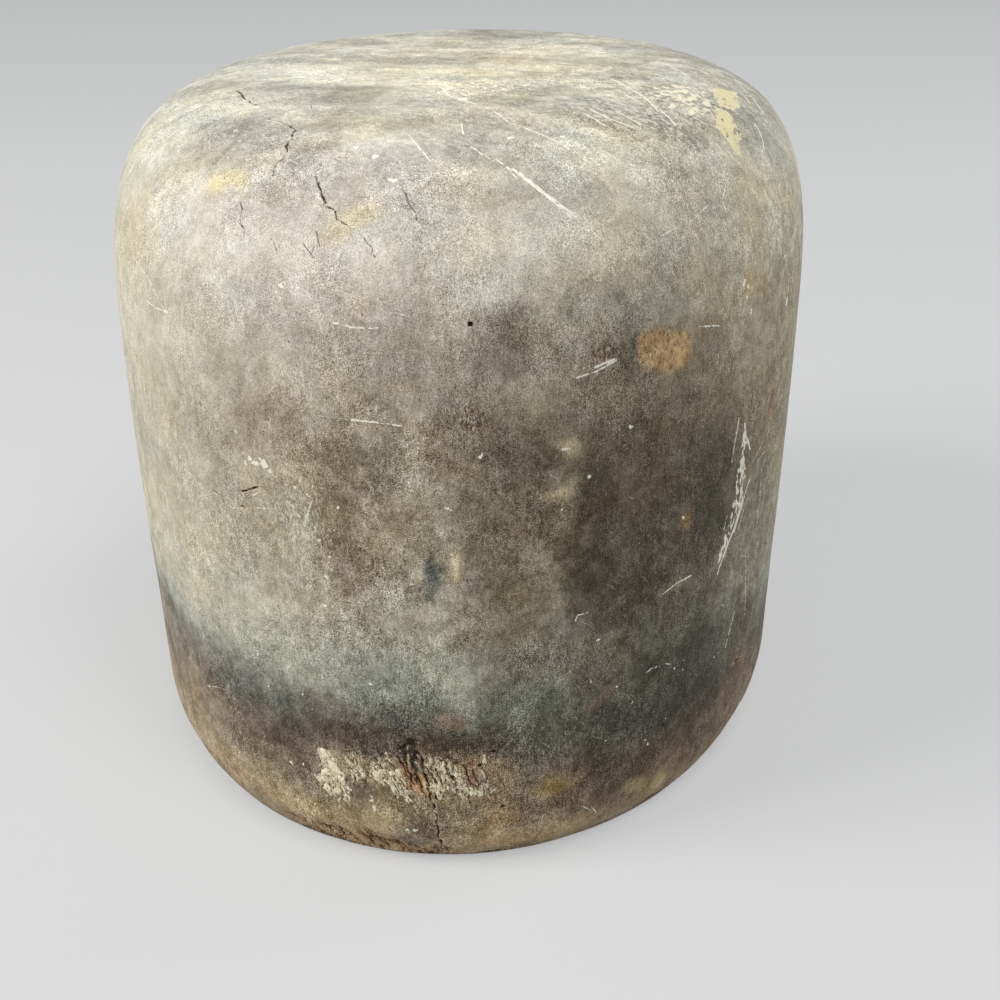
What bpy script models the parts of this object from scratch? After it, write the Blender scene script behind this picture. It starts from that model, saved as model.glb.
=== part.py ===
"""A hatter's crown block: a solid oval timber drum that a felt or straw crown is pulled over.

The block stands on its base with its grain upright. +Z is up, the front (the pin band's middle) faces -Y,
and the long way of the head oval lies along Y. The origin is the middle of the base, on the table.
Lengths are in metres.
"""
import math

import bmesh
import bpy
from mathutils import Matrix, Vector

# Head oval and crown
HEAD_LENGTH = 0.196
HEAD_WIDTH = 0.165
BLOCK_HEIGHT = 0.162

# Side wall: straight, and a little narrower at the foot than where the shoulder starts
SHOULDER_HEIGHT = 0.094
SIDE_DRAFT = 0.001

# Shoulder: a superellipse between the side and the flat of the crown
SIDE_POWER = 6.2
TOP_POWER = 4.0

# Foot: the worn radius round the base
FOOT_HEIGHT = 0.016
FOOT_INSET = 0.0049

# Clearance between pieces that touch
FIT = 0.0003

# Iron socket for the stand's spindle, let into the middle of the base
SPINDLE_BORE = 0.026
BARREL_WALL = 0.005
BARREL_LENGTH = 0.050
FLANGE_DIAMETER = 0.074
FLANGE_THICKNESS = 0.005
FLANGE_SET_BACK = 0.0006
BORE_LEAD_IN = 0.0012
FLANGE_EDGE_BREAK = 0.0005
ROOT_CHAMFER = 0.0015

# Countersunk slotted wood screws through the flange
SCREW_COUNT = 4
SCREW_FIRST_ANGLE = 45.0
SCREW_HEAD_DIAMETER = 0.0084
SCREW_SHANK_DIAMETER = 0.0042
SCREW_LENGTH = 0.022
SCREW_POINT_LENGTH = 0.005
SCREW_SLOT_WIDTH = 0.0011
SCREW_SLOT_DEPTH = 0.0010
SCREW_SET_BACK = 0.0002

# Broken tack shanks in the pin band, and one high on the front
TACK_WIDTH = 0.0012
TACK_LENGTH = 0.009
TACK_POINT_LENGTH = 0.004
TACK_POINT_WIDTH = 0.0004
TACK_SET_BACK = 0.0006

# Where each tack is: degrees round the oval from the front towards +X, and height above the base
TACK_PLACES = (
    (10.1, 0.0268),
    (14.4, 0.0297),
    (17.9, 0.0178),
    (16.5, 0.0332),
    (46.1, 0.0266),
    (65.9, 0.0283),
    (13.8, 0.1310),
)

# How finely round things are faceted
BLOCK_FACETS = 72
FOOT_RINGS = 5
SIDE_RINGS = 4
SHOULDER_RINGS = 15
SOCKET_FACETS = 48
SCREW_FACETS = 24

# How far a cutter stands out of what it cuts
OVERCUT = 0.004

OVAL_RATIO = HEAD_LENGTH / HEAD_WIDTH
SHOULDER_HALF_WIDTH = HEAD_WIDTH / 2
BORE_RADIUS = SPINDLE_BORE / 2
BARREL_RADIUS = BORE_RADIUS + BARREL_WALL
FLANGE_RADIUS = FLANGE_DIAMETER / 2
FLANGE_TOP = FLANGE_SET_BACK + FLANGE_THICKNESS
SOCKET_TOP = FLANGE_SET_BACK + BARREL_LENGTH
SCREW_CIRCLE_RADIUS = (BARREL_RADIUS + FLANGE_RADIUS) / 2


def clear_scene():
    for thing in list(bpy.data.objects):
        bpy.data.objects.remove(thing)


def material(name, colour, roughness, metallic):
    made = bpy.data.materials.new(name)
    made.use_nodes = True
    shader = made.node_tree.nodes["Principled BSDF"]
    shader.inputs["Base Color"].default_value = (*colour, 1.0)
    shader.inputs["Roughness"].default_value = roughness
    shader.inputs["Metallic"].default_value = metallic
    return made


def new_object(name, mesh_work, finish):
    mesh = bpy.data.meshes.new(name)
    bmesh.ops.recalc_face_normals(mesh_work, faces=mesh_work.faces)
    mesh_work.to_mesh(mesh)
    mesh_work.free()
    mesh.shade_smooth()
    mesh.set_sharp_from_angle(angle=math.radians(35))
    made = bpy.data.objects.new(name, mesh)
    bpy.context.collection.objects.link(made)
    if finish is not None:
        mesh.materials.append(finish)
    return made


def ring(work, count, half_width, ratio, height):
    """One level ring of points; ratio stretches it along Y into the head oval."""
    points = []
    for step in range(count):
        turn = 2 * math.pi * step / count
        x = half_width * math.cos(turn)
        y = half_width * ratio * math.sin(turn)
        points.append(work.verts.new((x, y, height)))
    return points


def skin_between(work, lower, upper):
    count = len(lower)
    for step in range(count):
        after = (step + 1) % count
        work.faces.new((lower[step], lower[after], upper[after], upper[step]))


def stacked(levels, count, ratio=1.0):
    """A closed solid from (half width, height) levels, base first, with flat caps."""
    work = bmesh.new()
    rings = [ring(work, count, half_width, ratio, height) for half_width, height in levels]
    for lower, upper in zip(rings, rings[1:]):
        skin_between(work, lower, upper)
    work.faces.new(list(reversed(rings[0])))
    work.faces.new(rings[-1])
    return work


def hollow_turned(outline, count):
    """A closed turned ring from a closed outline of (radius, height) points off the axis."""
    work = bmesh.new()
    rings = [ring(work, count, radius, 1.0, height) for radius, height in outline]
    for lower, upper in zip(rings, rings[1:] + rings[:1]):
        skin_between(work, lower, upper)
    return work


def cut(body, cutter):
    """Take the cutter out of the body, and hide the cutter."""
    cutter.hide_render = True
    cutter.display_type = "WIRE"
    step = body.modifiers.new(cutter.name, "BOOLEAN")
    step.operation = "DIFFERENCE"
    step.solver = "EXACT"
    step.object = cutter


# The crown's surface

def half_width_at(height):
    """Half the block's width at a height; the oval there is this scaled by OVAL_RATIO along Y."""
    foot_half_width = SHOULDER_HALF_WIDTH - SIDE_DRAFT
    if height < FOOT_HEIGHT:
        below = 1 - height / FOOT_HEIGHT
        return foot_half_width - FOOT_INSET * below**2
    if height < SHOULDER_HEIGHT:
        up = (height - FOOT_HEIGHT) / (SHOULDER_HEIGHT - FOOT_HEIGHT)
        return foot_half_width + SIDE_DRAFT * up
    up = min((height - SHOULDER_HEIGHT) / (BLOCK_HEIGHT - SHOULDER_HEIGHT), 1.0)
    return SHOULDER_HALF_WIDTH * (1 - up**TOP_POWER) ** (1 / SIDE_POWER)


def crown_levels():
    """The block's outline as (half width, height) levels from the base to the crown's flat."""
    heights = [FOOT_HEIGHT * step / FOOT_RINGS for step in range(FOOT_RINGS)]
    rise = SHOULDER_HEIGHT - FOOT_HEIGHT
    heights += [FOOT_HEIGHT + rise * step / SIDE_RINGS for step in range(SIDE_RINGS)]
    levels = [(half_width_at(height), height) for height in heights]
    shoulder_rise = BLOCK_HEIGHT - SHOULDER_HEIGHT
    for step in range(SHOULDER_RINGS):
        turn = math.pi / 2 * step / SHOULDER_RINGS
        half_width = SHOULDER_HALF_WIDTH * math.cos(turn) ** (2 / SIDE_POWER)
        height = SHOULDER_HEIGHT + shoulder_rise * math.sin(turn) ** (2 / TOP_POWER)
        levels.append((half_width, height))
    flat_half_width = levels[-1][0] / 2
    levels.append((flat_half_width, BLOCK_HEIGHT))
    return levels


def on_side(angle, height):
    """Where the side's surface is, and the level direction square to it, facing out."""
    turn = math.radians(angle)
    half_width = half_width_at(height)
    place = Vector((half_width * math.sin(turn), -half_width * OVAL_RATIO * math.cos(turn), height))
    outwards = Vector((OVAL_RATIO * math.sin(turn), -math.cos(turn), 0)).normalized()
    return place, outwards


# Spindle socket

def socket_pocket():
    """The stepped hole in the base that the socket drops into, a clearance wider all round."""
    levels = [
        (FLANGE_RADIUS + FIT, -OVERCUT),
        (FLANGE_RADIUS + FIT, FLANGE_TOP + FIT),
        (BARREL_RADIUS + ROOT_CHAMFER + FIT, FLANGE_TOP + FIT),
        (BARREL_RADIUS + FIT, FLANGE_TOP + ROOT_CHAMFER + FIT),
        (BARREL_RADIUS + FIT, SOCKET_TOP + FIT),
    ]
    return new_object("socket_pocket", stacked(levels, SOCKET_FACETS), None)


def spindle_socket(finish):
    outline = [
        (BORE_RADIUS, FLANGE_SET_BACK + BORE_LEAD_IN),
        (BORE_RADIUS + BORE_LEAD_IN, FLANGE_SET_BACK),
        (FLANGE_RADIUS - FLANGE_EDGE_BREAK, FLANGE_SET_BACK),
        (FLANGE_RADIUS, FLANGE_SET_BACK + FLANGE_EDGE_BREAK),
        (FLANGE_RADIUS, FLANGE_TOP),
        (BARREL_RADIUS + ROOT_CHAMFER, FLANGE_TOP),
        (BARREL_RADIUS, FLANGE_TOP + ROOT_CHAMFER),
        (BARREL_RADIUS, SOCKET_TOP),
        (BORE_RADIUS, SOCKET_TOP),
    ]
    return new_object("spindle_socket", hollow_turned(outline, SOCKET_FACETS), finish)


# Socket screws: each is built upright at the origin, head down, then moved to its place

def screw_levels(extra):
    """The screw's outline from its head down in the flange to its point up in the timber."""
    head_radius = SCREW_HEAD_DIAMETER / 2
    shank_radius = SCREW_SHANK_DIAMETER / 2
    head_height = head_radius - shank_radius
    shank_end = SCREW_LENGTH - SCREW_POINT_LENGTH
    tip_radius = shank_radius / 4
    return [
        (head_radius + extra, 0.0),
        (shank_radius + extra, head_height),
        (shank_radius + extra, shank_end),
        (tip_radius + extra, SCREW_LENGTH + extra),
    ]


def screw_place(number):
    turn = math.radians(SCREW_FIRST_ANGLE + 360 / SCREW_COUNT * number)
    x = SCREW_CIRCLE_RADIUS * math.cos(turn)
    y = SCREW_CIRCLE_RADIUS * math.sin(turn)
    return Matrix.Translation((x, y, FLANGE_SET_BACK + SCREW_SET_BACK)) @ Matrix.Rotation(turn, 4, "Z")


def screw_hole(number):
    """The drilled and countersunk hole for one screw, through the flange and into the timber."""
    levels = screw_levels(FIT)
    mouth = (levels[0][0], -OVERCUT)
    hole = new_object(f"screw_hole_{number + 1}", stacked([mouth] + levels, SCREW_FACETS), None)
    hole.matrix_world = screw_place(number)
    return hole


def socket_screw(number, finish):
    screw = new_object(f"socket_screw_{number + 1}", stacked(screw_levels(0.0), SCREW_FACETS), finish)
    screw.matrix_world = screw_place(number)
    work = bmesh.new()
    bmesh.ops.create_cube(work, size=1.0)
    size = (SCREW_HEAD_DIAMETER + OVERCUT, SCREW_SLOT_WIDTH, 2 * SCREW_SLOT_DEPTH)
    bmesh.ops.scale(work, vec=size, verts=work.verts)
    slot = new_object(f"screw_slot_{number + 1}", work, None)
    slot.matrix_world = screw_place(number)
    cut(screw, slot)
    return screw


# Tack shanks: built along +Z pointing out of the timber, then turned to stand out of the side

def square_taper(widths):
    """A square bar from (width, distance along) stations, from its point to its broken end."""
    work = bmesh.new()
    stations = []
    for width, along in widths:
        half = width / 2
        corners = ((-half, -half), (half, -half), (half, half), (-half, half))
        stations.append([work.verts.new((x, y, along)) for x, y in corners])
    for lower, upper in zip(stations, stations[1:]):
        skin_between(work, lower, upper)
    work.faces.new(list(reversed(stations[0])))
    work.faces.new(stations[-1])
    return work


def tack_place(angle, height):
    place, outwards = on_side(angle, height)
    return Matrix.Translation(place) @ outwards.to_track_quat("Z", "Y").to_matrix().to_4x4()


def tack_hole(number, angle, height):
    tip = -TACK_SET_BACK - TACK_LENGTH
    widths = [
        (TACK_POINT_WIDTH + 2 * FIT, tip - FIT),
        (TACK_WIDTH + 2 * FIT, tip + TACK_POINT_LENGTH),
        (TACK_WIDTH + 2 * FIT, OVERCUT),
    ]
    hole = new_object(f"tack_hole_{number}", square_taper(widths), None)
    hole.matrix_world = tack_place(angle, height)
    return hole


def tack_shank(number, angle, height, finish):
    tip = -TACK_SET_BACK - TACK_LENGTH
    widths = [
        (TACK_POINT_WIDTH, tip),
        (TACK_WIDTH, tip + TACK_POINT_LENGTH),
        (TACK_WIDTH, -TACK_SET_BACK),
    ]
    shank = new_object(f"tack_shank_{number}", square_taper(widths), finish)
    shank.matrix_world = tack_place(angle, height)
    return shank


# The whole block

clear_scene()
timber = material("crown_timber", (0.38, 0.35, 0.28), 0.75, 0.0)
socket_iron = material("socket_iron", (0.10, 0.085, 0.075), 0.6, 0.9)
screw_steel = material("screw_steel", (0.30, 0.28, 0.26), 0.45, 1.0)
tack_iron = material("tack_iron", (0.12, 0.06, 0.035), 0.8, 0.6)

block = new_object("crown_block", stacked(crown_levels(), BLOCK_FACETS, OVAL_RATIO), timber)
socket = spindle_socket(socket_iron)
cut(block, socket_pocket())

for screw_number in range(SCREW_COUNT):
    drilled = screw_hole(screw_number)
    cut(socket, drilled)
    cut(block, drilled)
    socket_screw(screw_number, screw_steel)

for tack_number, (tack_angle, tack_height) in enumerate(TACK_PLACES, start=1):
    cut(block, tack_hole(tack_number, tack_angle, tack_height))
    tack_shank(tack_number, tack_angle, tack_height, tack_iron)
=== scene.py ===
import math

import bmesh
import bpy
import numpy as np
from mathutils import Matrix, Vector


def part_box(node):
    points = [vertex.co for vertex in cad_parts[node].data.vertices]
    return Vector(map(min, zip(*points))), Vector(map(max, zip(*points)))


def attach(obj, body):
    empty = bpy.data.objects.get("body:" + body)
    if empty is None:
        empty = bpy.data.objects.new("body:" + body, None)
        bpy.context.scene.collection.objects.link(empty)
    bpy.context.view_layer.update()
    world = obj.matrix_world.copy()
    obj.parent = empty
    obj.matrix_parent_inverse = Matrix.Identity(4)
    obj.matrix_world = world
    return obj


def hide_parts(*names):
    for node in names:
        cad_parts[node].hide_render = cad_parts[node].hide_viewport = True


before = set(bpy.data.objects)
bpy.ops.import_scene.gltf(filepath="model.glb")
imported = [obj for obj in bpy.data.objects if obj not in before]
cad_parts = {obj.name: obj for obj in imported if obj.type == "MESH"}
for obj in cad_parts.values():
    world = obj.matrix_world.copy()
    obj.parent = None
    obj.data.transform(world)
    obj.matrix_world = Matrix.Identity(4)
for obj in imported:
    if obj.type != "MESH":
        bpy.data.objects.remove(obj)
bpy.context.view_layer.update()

# The crown block. One piece of close-grained timber with its fibres upright, carved to an oval drum
# with broad round shoulders, then greyed, scratched and water-marked by years of damp felt. It stands
# on its sawn base, and a round pocket in the base takes the spindle socket.
MM = 0.001
block_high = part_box("crown_block")[1]
HALF_WIDTH = block_high.x / MM
OVAL = block_high.y / block_high.x
BLOCK_HEIGHT = block_high.z / MM
SHOULDER_HEIGHT = 94.0
SIDE_DRAFT = 1.0
SIDE_POWER = 6.2
TOP_POWER = 4.0
FOOT_HEIGHT = 16.0
FOOT_INSET = 4.9
FOOT_EDGE_ROUND = 0.7


def half_width_at(height):
    """Half the block's width at a height, in mm."""
    foot = HALF_WIDTH - SIDE_DRAFT
    lean = np.clip((height - FOOT_HEIGHT) / (SHOULDER_HEIGHT - FOOT_HEIGHT), 0, 1)
    tuck = (1 - np.clip(height / FOOT_HEIGHT, 0, 1)) ** 2
    climbed = np.clip((height - SHOULDER_HEIGHT) / (BLOCK_HEIGHT - SHOULDER_HEIGHT), 0, 1)
    shoulder = HALF_WIDTH * (1 - climbed ** TOP_POWER) ** (1 / SIDE_POWER)
    return np.where(height > SHOULDER_HEIGHT, shoulder, foot + SIDE_DRAFT * lean - FOOT_INSET * tuck)


def crown_height_at(half_width):
    """Height of the shoulder or top where the oval has this half width, in mm."""
    inward = 1 - np.clip(half_width / HALF_WIDTH, 0, 1) ** SIDE_POWER
    return SHOULDER_HEIGHT + (BLOCK_HEIGHT - SHOULDER_HEIGHT) * inward ** (1 / TOP_POWER)


def oval_point(angle, half_width, height):
    """A point of the oval, in mm: angle is in degrees from the front towards the right."""
    turn = np.radians(angle)
    x, y = half_width * np.sin(turn), -half_width * OVAL * np.cos(turn)
    return np.stack(np.broadcast_arrays(x, y, height), -1)


def side(angle, height):
    """A place on the side, as its point and the directions right, up and outwards there."""
    point = oval_point(angle, half_width_at(height), height)
    right = oval_point(angle + 0.5, half_width_at(height), height) - point
    up = oval_point(angle, half_width_at(height + 0.3), height + 0.3) - point
    right, up = right / np.linalg.norm(right), up / np.linalg.norm(up)
    return point, right, up, np.cross(right, up)


def crown(x, y):
    """A place on the top or shoulder by its plan, x to the right and y to the back, in mm."""
    def on_top(x, y):
        return np.array([x, y, crown_height_at(math.hypot(x, y / OVAL))])
    point = on_top(x, y)
    right, up = on_top(x + 0.3, y) - point, on_top(x, y + 0.3) - point
    right, up = right / np.linalg.norm(right), up / np.linalg.norm(up)
    return point, right, up, np.cross(right, up)


def base(x, y):
    """A place on the sawn base, x to the right and y to the back, in mm."""
    return np.array([x, y, 0.0]), np.array([1.0, 0, 0]), np.array([0, -1.0, 0]), np.array([0, 0, -1.0])


def on_side(*spots):
    """A run or an outline over the side, from the angle and height of each spot."""
    return [side(angle, height) for angle, height in spots]


def on_crown(*spots):
    """A run or an outline over the top and shoulder, from the x and y of each spot."""
    return [crown(x, y) for x, y in spots]


def on_base(*spots):
    """A run over the sawn base, from the x and y of each spot."""
    return [base(x, y) for x, y in spots]


# The skin's grid: columns round the oval, rows from the end of the spindle hole out over the base, up
# the side and over the shoulder, and a square net inside the last row for the top.
COLUMNS = 720
BASE_COLUMNS = COLUMNS // 4
ROW_STEP = 0.8
NET_HALF_WIDTH = 51.0
socket_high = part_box("spindle_socket")[1]
POCKET_RADIUS = socket_high.x / MM + 0.3
POCKET_DEPTH = 5.6
HOLE_RADIUS = 18.3
HOLE_DEPTH = socket_high.z / MM + 0.4

OUTLINE_STEP = 0.2
low = np.concatenate([[0, 0.12, 0.3, 0.5, 0.8], np.arange(1.2, SHOULDER_HEIGHT + 30, OUTLINE_STEP)])
low_width = half_width_at(low) - FOOT_EDGE_ROUND * (1 - np.clip(low / FOOT_EDGE_ROUND, 0, 1)) ** 2
high_width = np.arange(low_width[-1], NET_HALF_WIDTH - 0.01, -OUTLINE_STEP)[1:]
outline_width = np.concatenate([low_width, high_width, [NET_HALF_WIDTH]])
outline_height = np.concatenate([low, crown_height_at(high_width), [crown_height_at(NET_HALF_WIDTH)]])
climb = np.concatenate([[0], np.cumsum(np.hypot(np.diff(outline_width), np.diff(outline_height)))])
row_stops = np.concatenate([[0, 0.3, 0.7], np.linspace(1.2, climb[-1], int(climb[-1] / ROW_STEP))])
side_width = np.interp(row_stops, climb, outline_width)
side_height = np.interp(row_stops, climb, outline_height)

rows = []


def add_row(columns, half_width, half_length, height, part, along):
    """Notes one ring of the skin; along is its distance across the unrolled sheet of its part."""
    angles = -90 + 360 * np.arange(columns) / columns
    turn = np.radians(angles)
    points = np.stack([half_width * np.sin(turn), -half_length * np.cos(turn), np.full(columns, height)], -1)
    rows.append((points, part, along))


for radius in (4, 8, 13, 17.9, HOLE_RADIUS):
    add_row(BASE_COLUMNS // 4, radius, radius, HOLE_DEPTH, "flat", 0)
for height in np.linspace(HOLE_DEPTH - 0.6, POCKET_DEPTH, 9):
    add_row(BASE_COLUMNS // 2, HOLE_RADIUS, HOLE_RADIUS, height, "hole", HOLE_DEPTH - height)
for radius in np.linspace(HOLE_RADIUS + 0.4, POCKET_RADIUS, 12):
    add_row(BASE_COLUMNS, radius, radius, POCKET_DEPTH, "flat", 0)
for height in (4.6, 3.0, 1.2, 0.35):
    add_row(BASE_COLUMNS, POCKET_RADIUS, POCKET_RADIUS, height, "pocket", POCKET_DEPTH - height)
for share in np.linspace(0, 1, 34) ** 0.9:
    near, columns = POCKET_RADIUS + 0.3, BASE_COLUMNS * (1 if share < 0.35 else 2 if share < 0.8 else 4)
    wide = near + (outline_width[0] - near) * share
    long = near + (outline_width[0] * OVAL - near) * share
    add_row(columns, wide, long, 0, "flat", 0)
for half_width, height, along in zip(side_width, side_height, row_stops):
    add_row(COLUMNS, half_width, half_width * OVAL, height, "side", along)

# The skin unrolled on a flat sheet, in mm: the side in two strips, one over the other, and to the
# right of them the top, the base, and the walls of the pocket and the hole.
SHEET = 412.0
GUTTER = 3.0
UNROLLED = 0.98
ROUND = 2 * math.pi * HALF_WIDTH * (1 + OVAL) / 2
STRIP = row_stops[-1] * UNROLLED + GUTTER
BESIDE = 292.0
TOP_MIDDLE = (347.0, 280.0)
BASE_MIDDLE, BASE_SCALE = (350.0, 80.0), 0.72
HOLE_FOOT, HOLE_ROUND, HOLE_SCALE = 345.0, 92.0, 0.5
POCKET_FOOT, POCKET_ROUND = 376.0, 115.0


def sheet_place(part, share_round, along, point):
    """Where a corner lies on the unrolled sheet, in mm."""
    if part == "side":
        strip = 0 if share_round < 0.5 - 1e-9 else 1
        return GUTTER + (share_round - strip * 0.5) * ROUND, GUTTER + strip * STRIP + along * UNROLLED
    if part == "hole":
        return BESIDE + share_round * HOLE_ROUND, HOLE_FOOT + along * HOLE_SCALE
    if part == "pocket":
        return BESIDE + share_round * POCKET_ROUND, POCKET_FOOT + along
    if part == "top":
        return TOP_MIDDLE[0] + point[0], TOP_MIDDLE[1] + point[1]
    return BASE_MIDDLE[0] + point[0] * BASE_SCALE, BASE_MIDDLE[1] + point[1] * BASE_SCALE


corner_list, face_list, sheet_list, starts = [], [], [], []
for points, part, along in rows:
    starts.append(len(corner_list))
    corner_list.extend(points.tolist())


def add_face(marks, part):
    """Adds a face; each mark is a row, its column before wrapping, and its number of columns."""
    middle = sum(column / columns for row, column, columns in marks) / len(marks)
    numbers, places = [], []
    for row, column, columns in marks:
        along = rows[row][2]
        number = starts[row] + column % columns
        share = column / columns
        if part == "side" and middle > 0.5 and share <= 0.5:
            share = 0.5 + 1e-7
        elif part == "side" and middle < 0.5 and share >= 0.5:
            share = 0.5 - 2e-9
        numbers.append(number)
        places.append(sheet_place(part, share, along, corner_list[number]))
    face_list.append(numbers)
    sheet_list.extend(places)


for row in range(len(rows) - 1):
    inner, outer = len(rows[row][0]), len(rows[row + 1][0])
    part = rows[row + 1][1]
    for column in range(inner):
        if outer == inner:
            add_face([(row, column, inner), (row, column + 1, inner), (row + 1, column + 1, outer),
                      (row + 1, column, outer)], part)
        else:
            left, middle, right = [(row + 1, 2 * column + step, outer) for step in (0, 1, 2)]
            here, following = (row, column, inner), (row, column + 1, inner)
            add_face([here, middle, left], part)
            add_face([here, following, middle], part)
            add_face([following, right, middle], part)
face_list.append(list(range(len(rows[0][0])))[::-1])
sheet_list.extend(sheet_place("flat", 0, 0, corner_list[n]) for n in face_list[-1])

# The top's net. Its border is the last row of the side.
NET = COLUMNS // 4
net_number = {}
for i in range(NET + 1):
    for j in range(NET + 1):
        p, q = 2 * i / NET - 1, 2 * j / NET - 1
        reach = max(abs(p), abs(q))
        if reach == 0:
            bearing = 0.0
        elif abs(p) >= abs(q):
            bearing = (math.pi / 4) * (q / p) + (0 if p > 0 else math.pi)
        else:
            bearing = math.pi / 2 - (math.pi / 4) * (p / q) + (0 if q > 0 else math.pi)
        if reach == 1:
            column = round((math.degrees(bearing) + 180) / 360 * COLUMNS) % COLUMNS
            net_number[i, j] = starts[-1] + column
            continue
        half_width = NET_HALF_WIDTH * reach
        net_number[i, j] = len(corner_list)
        corner_list.append([half_width * math.cos(bearing), half_width * OVAL * math.sin(bearing),
                            float(crown_height_at(half_width))])
for i in range(NET):
    for j in range(NET):
        face = [net_number[i, j], net_number[i + 1, j], net_number[i + 1, j + 1], net_number[i, j + 1]]
        face_list.append(face)
        sheet_list.extend(sheet_place("top", 0, 0, corner_list[n]) for n in face)

block_mesh = bpy.data.meshes.new("crown_block_skin")
block_mesh.from_pydata(corner_list, [], face_list)
block_mesh.uv_layers.new(name="OFBake").data.foreach_set("uv", (np.array(sheet_list) / SHEET).ravel())

# Marks of age that need fine geometry: runs and places on the block, with widths in mm.
TACKS = [f"tack_shank_{number}" for number in range(1, 8)]
CHECKS = [
    (0.56, on_crown((-44.2, -35.4), (-39.5, -43.5), (-35.9, -48.2), (-32.3, -51.8), (-29.3, -54.4))),
    (0.46, on_crown((-33.5, -56.5), (-29.0, -60.0), (-25.4, -62.4), (-21.4, -66.3), (-20.7, -69.8))),
    (0.34, on_crown((-20.7, -69.8), (-21.0, -73.4), (-20.2, -76.0), (-21.6, -79.0), (-21.8, -80.6))),
    (0.18, on_crown((-12.0, -79.2), (-12.3, -82.3), (-11.7, -83.7))),
    (0.34, on_crown((-11.7, -83.7), (-10.1, -86.3), (-9.5, -87.3))),
    (0.24, on_crown((-9.5, -87.3)) + on_side((-7.2, 150.3), (-5.9, 149.9), (-4.9, 148.6), (-3.7, 147.8))),
    (0.12, on_side((-0.8, 145.8), (0.0, 144.4), (0.9, 142.4))),
    (0.20, on_side((-21.4, 149.0), (-20.9, 148.2), (-20.5, 146.5), (-19.5, 144.8), (-19.0, 143.6))),
    (0.18, on_side((-7.9, 146.2), (-7.4, 145.2), (-6.8, 143.8))),
    (0.12, on_side((-14.5, 144.3), (-13.5, 142.3))),
    (0.12, on_crown((4.1, -84.0), (5.2, -85.2), (6.3, -86.6)) + on_side((6.3, 149.0))),
    (0.14, on_side((-9.4, 143.9), (-8.3, 142.6), (-7.3, 141.4))),
    (0.12, on_side((-8.0, 143.7), (-8.6, 141.8))),
    (0.16, on_crown((-22.8, -50.7), (-20.2, -56.8), (-19.0, -61.4))),
    (0.40, on_side((6.0, 23.5), (6.9, 19.6), (7.5, 15.9), (7.4, 12.4), (7.6, 8.9), (7.9, 5.6), (7.7, 2.5))),
    (0.34, on_side((-78, 149), (-77, 141), (-78, 133), (-76.5, 124))),
    (0.22, on_side((-104, 22), (-103, 31), (-104, 42))),
    (0.40, on_side((172, 4), (173, 17), (171.5, 29), (172.5, 41))),
    (0.26, on_side((138, 152), (139, 143), (137.5, 136))), (0.34, on_side((97, 3), (96, 12), (97, 24))),
    (0.20, on_side((-148, 112), (-147, 101), (-148, 92))),
    (0.5, on_base((38, -6), (47, -9), (56, -10), (69, -15))),
    (0.6, on_base((-37, 12), (-46, 17), (-58, 19), (-70, 27))),
    (0.4, on_base((-9, -38), (-12, -52), (-10, -66))),
    (0.5, on_base((14, 36), (20, 52), (21, 66), (27, 80))), (0.3, on_base((30, 62), (36, 70), (38, 76))),
    (0.3, on_base((-40, -44), (-48, -52), (-52, -60))),
]
KNOT_LINES = [
    (0.45, on_side((1.6, 32.1), (2.2, 29.7), (2.9, 27.1), (3.6, 24.7))),
    (0.40, on_side((2.8, 30.1), (3.2, 28.0), (3.8, 25.8), (3.9, 24.4))),
    (0.40, on_side((4.1, 27.2), (4.8, 25.9), (5.4, 23.7))),
    (0.45, on_side((5.5, 27.3), (6.2, 25.4), (6.5, 24.1))),
    (0.30, on_side((0.5, 30.3), (1.0, 27.9), (1.9, 25.3), (2.5, 23.7))),
    (0.30, on_side((7.5, 29.1), (8.1, 26.6), (8.7, 23.6))),
    (0.30, on_side((6.1, 29.0), (6.9, 26.9), (7.7, 24.7))),
    (0.30, on_side((11.8, 30.3), (12.2, 27.5), (12.8, 24.7))),
    (0.26, on_side((13.0, 28.8), (13.6, 26.5), (13.9, 24.0))),
]
GOUGES = [
    (0.5, on_side((-20.5, 91.5), (-19.0, 92.7), (-17.6, 93.5))),
    (0.5, on_side((-21.2, 87.9), (-20.4, 87.8))),
    (0.3, on_side((-27.0, 88.8), (-25.9, 88.9), (-24.8, 88.4))), (0.5, on_side((65.2, 31.6), (65.4, 29.6))),
    (0.5, on_side((63.8, 29.2), (65.5, 28.3), (66.8, 27.6))),
    (0.4, on_side((-17.1, 109.9), (-17.2, 108.6))), (0.3, on_side((-36.8, 56.6), (-35.4, 56.2))),
]
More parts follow.
